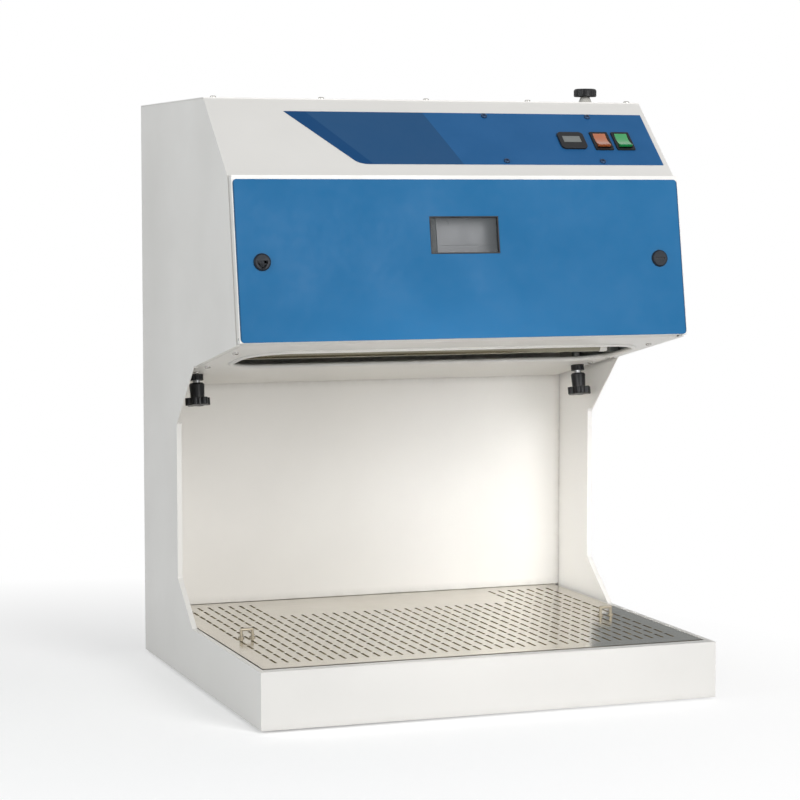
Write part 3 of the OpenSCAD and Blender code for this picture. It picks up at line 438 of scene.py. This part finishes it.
def overlay_film():
    """Printed film of the control overlay: dark slanted band, paler field, plain main blue."""
    look = finish_settings()
    made = Finish("overlay_film", specular=0.15)
    place = in_plane(made, ON_PANEL)
    top = PANEL_LEN - OVERLAY_TOP_GAP
    first = line_mask(made, place, (BAND_EDGE[0], OVERLAY_LOW), (BAND_EDGE[1], top))
    second = line_mask(made, place, (FIELD_EDGE[0], OVERLAY_LOW), (FIELD_EDGE[1], top))
    inner = made.drifted(look.overlay, darker(look.overlay, 0.85), 14.0, 0.4)
    band = made.wires.blend(first, look.overlay_dark, look.overlay_pale)
    made.colour(made.wires.blend(second, band, inner))
    made.wiped(0.42, 0.56, 14.0)
    made.grained(2200.0, 0.000012)
    return made


def steel(name, colour, low, high, stretch, depth=0.000012):
    """Bare metal with rolled lines; low and high are its roughness."""
    made = Finish(name, metal=1.0)
    lines = made.wires.group(shared("lines"), Place=made.place, Stretch=stretch)
    tone = made.wires.blend(lines.outputs["Mask"], darker(colour, 0.9), colour)
    # Closed-in corners are darkened: painted shade.
    made.colour(made.dusted_and_shaded(tone, srgb(70, 64, 55), 0.006, 0.2))
    made.wiped(low, high, 8.0)
    made.bump(lines.outputs["Height"], depth)
    return made


def moulded(name, colour, low=0.32, high=0.5, grain=1500.0, depth=0.00002, rub=0.35, coat=0.0,
            specular=0.5):
    """Moulded plastic or rubber with rubbed edges; low and high are its roughness."""
    made = Finish(name, coat=coat, specular=specular)
    tone = made.drifted(colour, darker(colour, 0.7), 40.0, 0.4)
    rubbed = made.wires.group(shared("rub"), Place=made.place, Radius=0.0008, Amount=rub)
    paler = tuple(min(1, value * 1.6 + 0.05) for value in colour[:3]) + (1.0,)
    tone = made.wires.blend(rubbed.outputs["Mask"], tone, paler)
    # Closed-in corners take a mid grey: paler dust on dark mouldings, painted shade on pale ones.
    made.colour(made.dusted_and_shaded(tone, srgb(120, 116, 108), 0.004, 0.2))
    made.wiped(low, high, 40.0)
    made.grained(grain, depth)
    return made


def make_finishes():
    """All materials of the workstation."""
    look = finish_settings()
    powder_coat("powder_coat", look.coat)
    # The inside coat gets more of this painted shade in its corners.
    powder_coat("powder_coat_inside", look.coat, 0.4)
    face_sheet("door_face", look.door)
    overlay_film()
    steel("tray_steel", look.steel, 0.10, 0.22, (5.0, 260.0, 260.0))
    steel("handle_steel", srgb(170, 162, 146), 0.42, 0.55, (200.0, 200.0, 200.0))
    steel("zinc_plate", srgb(178, 180, 182), 0.3, 0.45, (90.0, 90.0, 90.0), 0.00002)
    steel("screw_steel", srgb(186, 184, 180), 0.22, 0.36, (300.0, 300.0, 300.0))
    steel("screw_dark", srgb(58, 78, 106), 0.34, 0.46, (300.0, 300.0, 300.0))
    moulded("black_moulding", srgb(22, 23, 26), specular=0.25)
    moulded("black_gloss", srgb(16, 18, 22), 0.3, 0.42, 900.0, 0.000006, 0.2, specular=0.2)
    moulded("latch_black", srgb(18, 26, 36), 0.42, 0.55, 900.0, 0.000006, 0.15, specular=0.22)
    moulded("knob_black", srgb(17, 18, 21), 0.3, 0.42, 1100.0, 0.00001, 0.3, specular=0.3)
    moulded("rubber_black", srgb(30, 30, 31), 0.6, 0.8, 900.0, 0.00004, 0.1)
    moulded("green_lens", srgb(34, 160, 84), 0.14, 0.24, 500.0, 0.000008, 0.15, coat=0.5)
    moulded("orange_lens", srgb(188, 104, 58), 0.14, 0.24, 500.0, 0.000008, 0.15, coat=0.5)
    moulded("display_grey", srgb(122, 126, 124), 0.3, 0.45, 800.0, 0.00001, 0.1)
    moulded("socket_grey", srgb(64, 66, 70))
    # The filter frame is made near black as painted shade in the window's recess.
    moulded("board_painted_shade", srgb(46, 46, 47), 0.55, 0.7, 300.0, 0.00005, 0.1, specular=0.3)
    moulded("filter_paper", srgb(232, 230, 222), 0.8, 0.95, 700.0, 0.0001, 0.0)
    moulded("filter_mat", srgb(168, 154, 124), 0.85, 0.98, 260.0, 0.0006, 0.0)
    moulded("light_moulding", srgb(206, 204, 198), 0.3, 0.45, 900.0, 0.00001, 0.1)
    moulded("plate_grey", srgb(98, 98, 102), 0.35, 0.5, 900.0, 0.00001, 0.1)
    lamp_finish()
    pane_finish()


# Where the lamp's caps begin, from its middle.
CAP_EDGE = 0.2625
CAP_SOFT = 0.0001


def lamp_finish():
    """Mirror-coated glass of the lamp tube with bright metal caps at its ends."""
    made = Finish("lamp_glass", metal=1.0)
    apart = made.wires.node("ShaderNodeSeparateXYZ")
    made.wires.feed(apart.inputs[0], made.place)
    from_middle = made.wires.maths("ABSOLUTE", apart.outputs["X"])
    cap = made.wires.spread(from_middle, CAP_EDGE - CAP_SOFT, CAP_EDGE + CAP_SOFT)
    glass = made.drifted(srgb(132, 128, 112), srgb(112, 108, 96), 9.0, 0.6)
    tone = made.wires.blend(cap, glass, srgb(190, 188, 182))
    made.colour(made.dusted_and_shaded(tone, srgb(140, 134, 120), 0.01, 0.2))
    made.wiped(0.10, 0.18, 30.0)


def pane_finish():
    """Clear acrylic of the filter window, seen through and lightly wiped."""
    made = Finish("clear_acrylic", specular=0.3, ior=1.49)
    made.colour(made.drifted(srgb(170, 180, 184), srgb(150, 160, 166), 30.0, 0.3))
    made.shader.inputs["Alpha"].default_value = 0.08
    made.wiped(0.06, 0.14, 30.0)


# Mesh helpers

def shade_by_angle(mesh, limit):
    """Smooth faces, with sharp edges where the surface turns by more than the limit, if there is one."""
    form = bmesh.new()
    form.from_mesh(mesh)
    for face in form.faces:
        face.smooth = True
    for edge in form.edges:
        edge.smooth = limit is None or (len(edge.link_faces) == 2 and edge.calc_face_angle(0) < limit)
    form.to_mesh(mesh)
    form.free()


def new_piece(name, form, finish, body, limit):
    """Object from a bmesh, with its finish, riding on a body."""
    mesh = bpy.data.meshes.new(name)
    form.to_mesh(mesh)
    form.free()
    piece = bpy.data.objects.new(name, mesh)
    bpy.context.scene.collection.objects.link(piece)
    mesh.materials.append(MATERIALS[finish])
    shade_by_angle(mesh, limit)
    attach(piece, body)
    return piece


def clean_copy(node):
    """Copy of a node's mesh with its flat faces joined again."""
    form = bmesh.new()
    form.from_mesh(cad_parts[node].data)
    bmesh.ops.remove_doubles(form, verts=form.verts, dist=1e-6)
    bmesh.ops.dissolve_limit(form, angle_limit=math.radians(0.4), verts=form.verts, edges=form.edges)
    return form


BEVEL_ANGLE = math.radians(30)
SCREW_ANGLE = math.radians(28)


def rounded(node, width, finish, body, slot, segments=2):
    """A node's own shape with rounded edges, standing for the node."""
    piece = new_piece(node + "_rounded", clean_copy(node), finish, body, None)
    soften = piece.modifiers.new("round", "BEVEL")
    soften.width = width
    soften.segments = segments
    soften.limit_method = "ANGLE"
    soften.angle_limit = BEVEL_ANGLE
    soften.use_clamp_overlap = True
    even = piece.modifiers.new("even", "WEIGHTED_NORMAL")
    even.mode = "FACE_AREA"
    even.weight = 100
    even.keep_sharp = True
    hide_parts(node)


def coat_node(node, finish):
    """Puts a finish on a node that keeps its own shape."""
    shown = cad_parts[node]
    mesh_slots = shown.material_slots
    if len(mesh_slots) == 0:
        raise RuntimeError("no material slot on " + node)
    for mesh_slot in mesh_slots:
        mesh_slot.material = MATERIALS[finish]


# Screws with a cross recess; each is turned on from the one before.

SCREW_STEPS = 32
SCREW_RADIUS = 4 * MM
SCREW_HEIGHT = 2.4 * MM
SHANK_RADIUS = 1.8 * MM
SHANK_LENGTH = 2.5 * MM
FIRST_TURN = 0.7
NEXT_TURN = 1.9


def cross_head(radius, height, shank_radius, shank):
    """Domed head with a cross cut into it; the head's seat is at z 0."""
    form = bmesh.new()
    steps = SCREW_STEPS
    arm = radius * 0.56
    half = radius * 0.11
    deep = height * 0.55
    taper = 0.75
    angles = [2 * math.pi * (k + 0.5) / steps for k in range(steps)]
    crown = [(math.cos(angle), math.sin(angle)) for angle in angles]

    def ring(scale, z):
        return [form.verts.new((x * scale, y * scale, z)) for x, y in crown]

    def skin(low, high):
        for k in range(steps):
            form.faces.new((low[k], low[(k + 1) % steps], high[(k + 1) % steps], high[k]))

    rings = [ring(shank_radius, -shank), ring(shank_radius, 0), ring(radius, 0),
             ring(radius, height * 0.35), ring(radius * 0.93, height * 0.68),
             ring(radius * 0.80, height * 0.88), ring(radius * 0.66, height * 0.97)]
    for low, high in zip(rings, rings[1:]):
        skin(low, high)
    form.faces.new(list(reversed(rings[0])))
    cross = [(arm, -half), (arm, half), (half, half), (half, arm), (-half, arm), (-half, half),
             (-arm, half), (-arm, -half), (-half, -half), (-half, -arm), (half, -arm), (half, -half)]
    rim = [form.verts.new((x, y, height)) for x, y in cross]
    floor = [form.verts.new((x * taper, y * taper, height - deep)) for x, y in cross]
    corners = len(cross)
    for k in range(corners):
        form.faces.new((rim[k], rim[(k + 1) % corners], floor[(k + 1) % corners], floor[k]))
    form.faces.new(floor)
    edges = [form.edges.get((rim[k], rim[(k + 1) % corners])) for k in range(corners)]
    edges += [form.edges.get((rings[-1][k], rings[-1][(k + 1) % steps])) for k in range(steps)]
    bmesh.ops.triangle_fill(form, edges=edges, use_beauty=True)
    bmesh.ops.recalc_face_normals(form, faces=form.faces)
    return form


def screw_set(node, places, finish="screw_steel"):
    """All the screws of one node, each turned a little differently."""
    merged = bmesh.new()
    for index, place in enumerate(places):
        form = cross_head(SCREW_RADIUS, SCREW_HEIGHT, SHANK_RADIUS, SHANK_LENGTH)
        form.transform(place @ Matrix.Rotation(FIRST_TURN + NEXT_TURN * index, 4, "Z"))
        shape = bpy.data.meshes.new("screw")
        form.to_mesh(shape)
        form.free()
        merged.from_mesh(shape)
        bpy.data.meshes.remove(shape)
    piece = new_piece(node + "_crossed", merged, finish, "cabinet", SCREW_ANGLE)
    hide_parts(node)


def moved(base, x, y, z, turn=0.0):
    """Place on a tilted face, turned about the face's x."""
    return base @ Matrix.Translation((x, y, z)) @ Matrix.Rotation(turn, 4, "X")


class WORKSTATION_OT_finishes(bpy.types.Operator):
    """Make the materials of all finishes"""
    bl_idname = "workstation.finishes"
    bl_label = "Finishes"

    def execute(self, context):
        make_finishes()
        return {"FINISHED"}


class WORKSTATION_OT_shell(bpy.types.Operator):
    """Round the edges of the folded white sheets and coat the sheets that stay as they are"""
    bl_idname = "workstation.shell"
    bl_label = "Cabinet shell"

    def execute(self, context):
        edge = size_settings().edge
        for node in ("left_side_panel", "right_side_panel", "roof_panel", "base_pan",
                     "control_panel", "rear_panel"):
            rounded(node, edge, "powder_coat", "cabinet", "white_coat")
        for node in ("inner_back_wall", "head_soffit"):
            rounded(node, edge, "powder_coat_inside", "cabinet", "white_coat")
        coat_node("tray_rails", "powder_coat_inside")
        coat_node("feet", "rubber_black")
        return {"FINISHED"}


class WORKSTATION_OT_work_surface(bpy.types.Operator):
    """Finish the slotted work surface and the mat under it"""
    bl_idname = "workstation.work_surface"
    bl_label = "Work surface"

    def execute(self, context):
        coat_node("work_surface", "tray_steel")
        coat_node("tray_handles", "handle_steel")
        coat_node("pre_filter", "filter_mat")
        return {"FINISHED"}


class WORKSTATION_OT_controls(bpy.types.Operator):
    """Finish the overlay, the switches, the hour counter and the roof knob"""
    bl_idname = "workstation.controls"
    bl_label = "Controls"

    def execute(self, context):
        mould = size_settings().mould
        rounded("control_overlay", 0.15 * MM, "overlay_film", "cabinet", "panel_blue")
        rounded("switch_bodies", mould * 0.6, "black_gloss", "cabinet", "black_plastic")
        rounded("fan_rocker", mould, "green_lens", "fan_switch", "green_rocker", segments=3)
        rounded("light_rocker", mould, "orange_lens", "light_switch", "orange_rocker", segments=3)
        rounded("hour_counter", mould, "black_moulding", "cabinet", "black_plastic", segments=3)
        coat_node("counter_display", "display_grey")
        coat_node("speed_control", "light_moulding")
        rounded("speed_knob", mould * 0.6, "knob_black", "roof_knob", "black_plastic")
        return {"FINISHED"}


class WORKSTATION_OT_door(bpy.types.Operator):
    """Finish the filter door, its face sheet, its window and its latches"""
    bl_idname = "workstation.door"
    bl_label = "Filter door"

    def execute(self, context):
        edge = size_settings().edge
        mould = size_settings().mould
        rounded("filter_door", edge, "powder_coat", "door", "white_coat")
        rounded("door_overlay", 0.25 * MM, "door_face", "door", "door_blue")
        rounded("window_frame", 0.3 * MM, "black_moulding", "door", "black_plastic")
        coat_node("window_pane", "clear_acrylic")
        coat_node("hinge_brackets", "zinc_plate")
        for side in ("left", "right"):
            rounded("latch_" + side, mould, "latch_black", side + "_latch", "black_plastic", segments=3)
            rounded("latch_cam_" + side, 0.3 * MM, "zinc_plate", side + "_latch", "zinc_steel")
        return {"FINISHED"}


class WORKSTATION_OT_lamp(bpy.types.Operator):
    """Finish the lamp tube and its holders"""
    bl_idname = "workstation.lamp"
    bl_label = "Lamp"

    def execute(self, context):
        coat_node("lamp_tube", "lamp_glass")
        rounded("lamp_holders", size_settings().mould, "display_grey", "cabinet", "white_coat")
        return {"FINISHED"}


class WORKSTATION_OT_inside(bpy.types.Operator):
    """Finish the filter, the plenum plate and the blower"""
    bl_idname = "workstation.inside"
    bl_label = "Filter and blower"

    def execute(self, context):
        for node, finish in (("filter_rails", "zinc_plate"), ("filter_frame", "board_painted_shade"),
                             ("filter_pleats", "filter_paper"), ("filter_grip_plate", "plate_grey"),
                             ("filter_seal", "rubber_black"), ("plenum_plate", "zinc_plate"),
                             ("blower_scroll", "zinc_plate"), ("blower_wheel", "black_moulding"),
                             ("blower_motor", "socket_grey")):
            coat_node(node, finish)
        return {"FINISHED"}


class WORKSTATION_OT_clamps(bpy.types.Operator):
    """Finish the two clamp knobs under the soffit"""
    bl_idname = "workstation.clamps"
    bl_label = "Clamp knobs"

    def execute(self, context):
        rounded("clamp_collars", 0.4 * MM, "knob_black", "cabinet", "black_plastic")
        for side in ("left", "right"):
            rounded("clamp_knob_" + side, 1.0 * MM, "knob_black", side + "_clamp", "black_plastic",
                    segments=3)
            coat_node("clamp_stud_" + side, "zinc_plate")
        return {"FINISHED"}


# Places of the screws, as the solids have them.
ROOF_Z = 772 * MM
ROOF_SCREW_BACK = 8 * MM
ROOF_SCREW_PITCH = 145 * MM
OVERLAY_FACE = -0.8 * MM
OVERLAY_SCREWS_TOP = (70 * MM, 218 * MM)
OVERLAY_SCREWS_LOW = (76 * MM, 212 * MM)
OVERLAY_SCREW_TOP_GAP = 30 * MM
OVERLAY_SCREW_LOW_GAP = 28 * MM
SOFFIT_SCREW_X = 286.2 * MM
SOFFIT_SCREW_PLACES = (70 * MM, 204 * MM, 262 * MM)
REAR_Y = FRONT_Y + 576 * MM
REAR_SCREW_X = 300.4 * MM
REAR_SCREW_LOW = 37.5 * MM
REAR_SCREW_PITCH = 677 * MM / 3


class WORKSTATION_OT_fasteners(bpy.types.Operator):
    """Replace the plain screws by screws with a cross recess, and finish the inlet"""
    bl_idname = "workstation.fasteners"
    bl_label = "Screws and inlet"

    def execute(self, context):
        roof_y = PANEL_FOOT.y + PANEL_LEN * math.sin(PANEL_LEAN) + ROOF_SCREW_BACK
        screw_set("roof_screws", [moved(Matrix(), k * ROOF_SCREW_PITCH, roof_y, ROOF_Z)
                                  for k in range(-2, 3)])
        spots = [(x, PANEL_LEN - OVERLAY_SCREW_TOP_GAP) for x in OVERLAY_SCREWS_TOP]
        spots += [(x, OVERLAY_SCREW_LOW_GAP) for x in OVERLAY_SCREWS_LOW]
        screw_set("overlay_screws", [moved(ON_PANEL, x, OVERLAY_FACE, z, math.pi / 2)
                                     for x, z in spots], "screw_dark")
        screw_set("soffit_screws", [moved(ON_SOFFIT, side * SOFFIT_SCREW_X, back, 0, math.pi)
                                    for side in (-1, 1) for back in SOFFIT_SCREW_PLACES])
        screw_set("rear_screws", [moved(Matrix(), side * REAR_SCREW_X, REAR_Y,
                                        REAR_SCREW_LOW + k * REAR_SCREW_PITCH, -math.pi / 2)
                                  for side in (-1, 1) for k in range(4)])
        rounded("power_inlet", size_settings().mould, "black_moulding", "cabinet", "black_plastic")
        return {"FINISHED"}


class WORKSTATION_OT_stage(bpy.types.Operator):
    """Floor, backdrop, soft light and the camera"""
    bl_idname = "workstation.stage"
    bl_label = "Stage"

    def execute(self, context):
        make_floor()
        make_world()
        soft_light("key_light", (0.9, -3.1, 1.5), (0, 0, 0.4), size=1.7, power=62)
        soft_light("fill_light", (-2.2, -0.7, 1.15), (-0.3, 0, 0.4), size=1.0, power=12.2,
                   tint=(0.93, 0.98, 1.0))
        soft_light("chamber_light", (-0.62, -0.9, 0.52), (0.30, 0.14, 0.16), size=0.25, power=0.24,
                   spread=26.0)
        make_flag()
        make_camera()
        return {"FINISHED"}


# Floor, sky and flag; the shade's centre and reach are on the floor.
FLOOR_SIZE = 12
FLOOR_TONE = (0.92, 0.92, 0.92, 1)
FLOOR_GLOW = 0.31
SHADE_CENTRE = (-0.5, -0.15, 0)
SHADE_INNER = 0.3
SHADE_OUTER = 1.15
SKY_LIGHT = 0.29
FLAG_LEFT = (0.9, 2.2)
FLAG_RIGHT = (3.6, 1.0)
FLAG_TOP = 1.3
FLAG_TONE = srgb(148, 152, 154)


def stage_piece(name, form, material):
    """A piece of the stage from a bmesh, with one material."""
    mesh = bpy.data.meshes.new(name)
    form.to_mesh(mesh)
    form.free()
    piece = bpy.data.objects.new(name, mesh)
    bpy.context.scene.collection.objects.link(piece)
    mesh.materials.append(material)
    return piece


def empty_tree(owner):
    """The owner's own node tree, emptied."""
    owner.use_nodes = True
    owner.node_tree.nodes.clear()
    return Wires(owner.node_tree)


def seen_directly(wires):
    """1 for rays that come from the camera, a mirror or a window, 0 for those that light surfaces."""
    rays = wires.node("ShaderNodeLightPath")
    seen = wires.maths("MAXIMUM", rays.outputs["Is Camera Ray"], rays.outputs["Is Glossy Ray"])
    return wires.maths("MAXIMUM", seen, rays.outputs["Is Transmission Ray"])


def make_floor():
    """Pale floor that keeps its shade near the object and turns plain white away from it."""
    material = bpy.data.materials.new("floor_paper")
    wires = empty_tree(material)
    paper = wires.node("ShaderNodeBsdfDiffuse")
    paper.inputs["Color"].default_value = FLOOR_TONE
    glow = wires.node("ShaderNodeEmission")
    glow.inputs["Strength"].default_value = FLOOR_GLOW
    seen = seen_directly(wires)
    wires.feed(glow.inputs["Color"], wires.blend(seen, (0, 0, 0, 1), (1, 1, 1, 1)))
    added = wires.node("ShaderNodeAddShader")
    wires.feed(added.inputs[0], paper.outputs[0])
    wires.feed(added.inputs[1], glow.outputs[0])
    plain = wires.node("ShaderNodeEmission")
    distance = wires.node("ShaderNodeVectorMath", operation="DISTANCE")
    wires.feed(distance.inputs[0], wires.node("ShaderNodeTexCoord").outputs["Object"])
    distance.inputs[1].default_value = SHADE_CENTRE
    far = wires.spread(distance.outputs["Value"], SHADE_INNER, SHADE_OUTER)
    mixed = wires.node("ShaderNodeMixShader")
    wires.feed(mixed.inputs[0], wires.maths("MULTIPLY", far, seen))
    wires.feed(mixed.inputs[1], added.outputs[0])
    wires.feed(mixed.inputs[2], plain.outputs[0])
    result = wires.node("ShaderNodeOutputMaterial")
    wires.feed(result.inputs["Surface"], mixed.outputs[0])
    form = bmesh.new()
    bmesh.ops.create_grid(form, x_segments=8, y_segments=8, size=FLOOR_SIZE)
    stage_piece("floor", form, material)


def make_flag():
    """Grey flag behind the right side, seen by shiny metal alone."""
    material = bpy.data.materials.new("flag_grey")
    wires = empty_tree(material)
    glow = wires.node("ShaderNodeEmission")
    glow.inputs["Color"].default_value = FLAG_TONE
    result = wires.node("ShaderNodeOutputMaterial")
    wires.feed(result.inputs["Surface"], glow.outputs[0])
    form = bmesh.new()
    outline = ((FLAG_LEFT, 0), (FLAG_RIGHT, 0), (FLAG_RIGHT, FLAG_TOP), (FLAG_LEFT, FLAG_TOP))
    form.faces.new([form.verts.new((*spot, height)) for spot, height in outline])
    flag = stage_piece("flag", form, material)
    flag.visible_camera = False
    flag.visible_diffuse = False
    flag.visible_shadow = False
    flag.visible_transmission = False


def make_world():
    """Even sky: soft on surfaces, plain white where it is seen."""
    world = bpy.data.worlds.new("studio")
    bpy.context.scene.world = world
    wires = empty_tree(world)
    sky = wires.node("ShaderNodeBackground")
    sky.inputs["Color"].default_value = (1, 1, 1, 1)
    wires.feed(sky.inputs["Strength"], wires.spread(seen_directly(wires), 0, 1, SKY_LIGHT, 1.0))
    result = wires.node("ShaderNodeOutputWorld")
    wires.feed(result.inputs["Surface"], sky.outputs[0])


def soft_light(name, place, aim, size, power, spread=180.0, tint=(1, 1, 1)):
    """Round soft light at a place, turned to its aim; spread is in degrees."""
    data = bpy.data.lights.new(name, "AREA")
    data.shape = "DISK"
    data.size = size
    data.energy = power
    data.spread = math.radians(spread)
    data.color = tint
    lamp = bpy.data.objects.new(name, data)
    lamp.location = place
    lamp.rotation_euler = (Vector(aim) - Vector(place)).to_track_quat("-Z", "Y").to_euler()
    bpy.context.scene.collection.objects.link(lamp)


CAMERA_PLACE = Vector((-1.1400, -3.1073, 0.6502))
CAMERA_AIM = Vector((-0.0192, 0.01075, 0.3726))
CAMERA_LENS = 111.15


def make_camera():
    """Camera of the photograph's view."""
    data = bpy.data.cameras.new("photo_view")
    data.sensor_width = 36
    data.lens = CAMERA_LENS
    data.clip_end = 40
    camera = bpy.data.objects.new("photo_view", data)
    camera.location = CAMERA_PLACE
    camera.rotation_euler = (CAMERA_AIM - CAMERA_PLACE).to_track_quat("-Z", "Y").to_euler()
    bpy.context.scene.collection.objects.link(camera)
    bpy.context.scene.camera = camera
    bpy.context.scene.view_settings.view_transform = "Standard"


OPERATORS = (WORKSTATION_OT_finishes, WORKSTATION_OT_shell, WORKSTATION_OT_work_surface,
             WORKSTATION_OT_controls, WORKSTATION_OT_door, WORKSTATION_OT_lamp,
             WORKSTATION_OT_inside, WORKSTATION_OT_clamps, WORKSTATION_OT_fasteners,
             WORKSTATION_OT_stage)


class WORKSTATION_PT_panel(bpy.types.Panel):
    """Lists the steps and the settings"""
    bl_idname = "WORKSTATION_PT_panel"
    bl_label = "Workstation"
    bl_space_type = "VIEW_3D"
    bl_region_type = "UI"
    bl_category = "Workstation"

    def draw(self, context):
        for settings in (context.scene.workstation_finish, context.scene.workstation_sizes):
            for key in settings.bl_rna.properties.keys():
                if key not in ("rna_type", "name"):
                    self.layout.prop(settings, key)
        for step in OPERATORS:
            self.layout.operator(step.bl_idname)


CLASSES = (WorkstationFinish, WorkstationSizes) + OPERATORS + (WORKSTATION_PT_panel,)


def register():
    for item in CLASSES:
        bpy.utils.register_class(item)
    bpy.types.Scene.workstation_finish = bpy.props.PointerProperty(type=WorkstationFinish)
    bpy.types.Scene.workstation_sizes = bpy.props.PointerProperty(type=WorkstationSizes)


def unregister():
    del bpy.types.Scene.workstation_sizes
    del bpy.types.Scene.workstation_finish
    for item in reversed(CLASSES):
        bpy.utils.unregister_class(item)


def main():
    register()
    for step in OPERATORS:
        group, name = step.bl_idname.split(".")
        getattr(getattr(bpy.ops, group), name)()


if __name__ == "__main__":
    main()
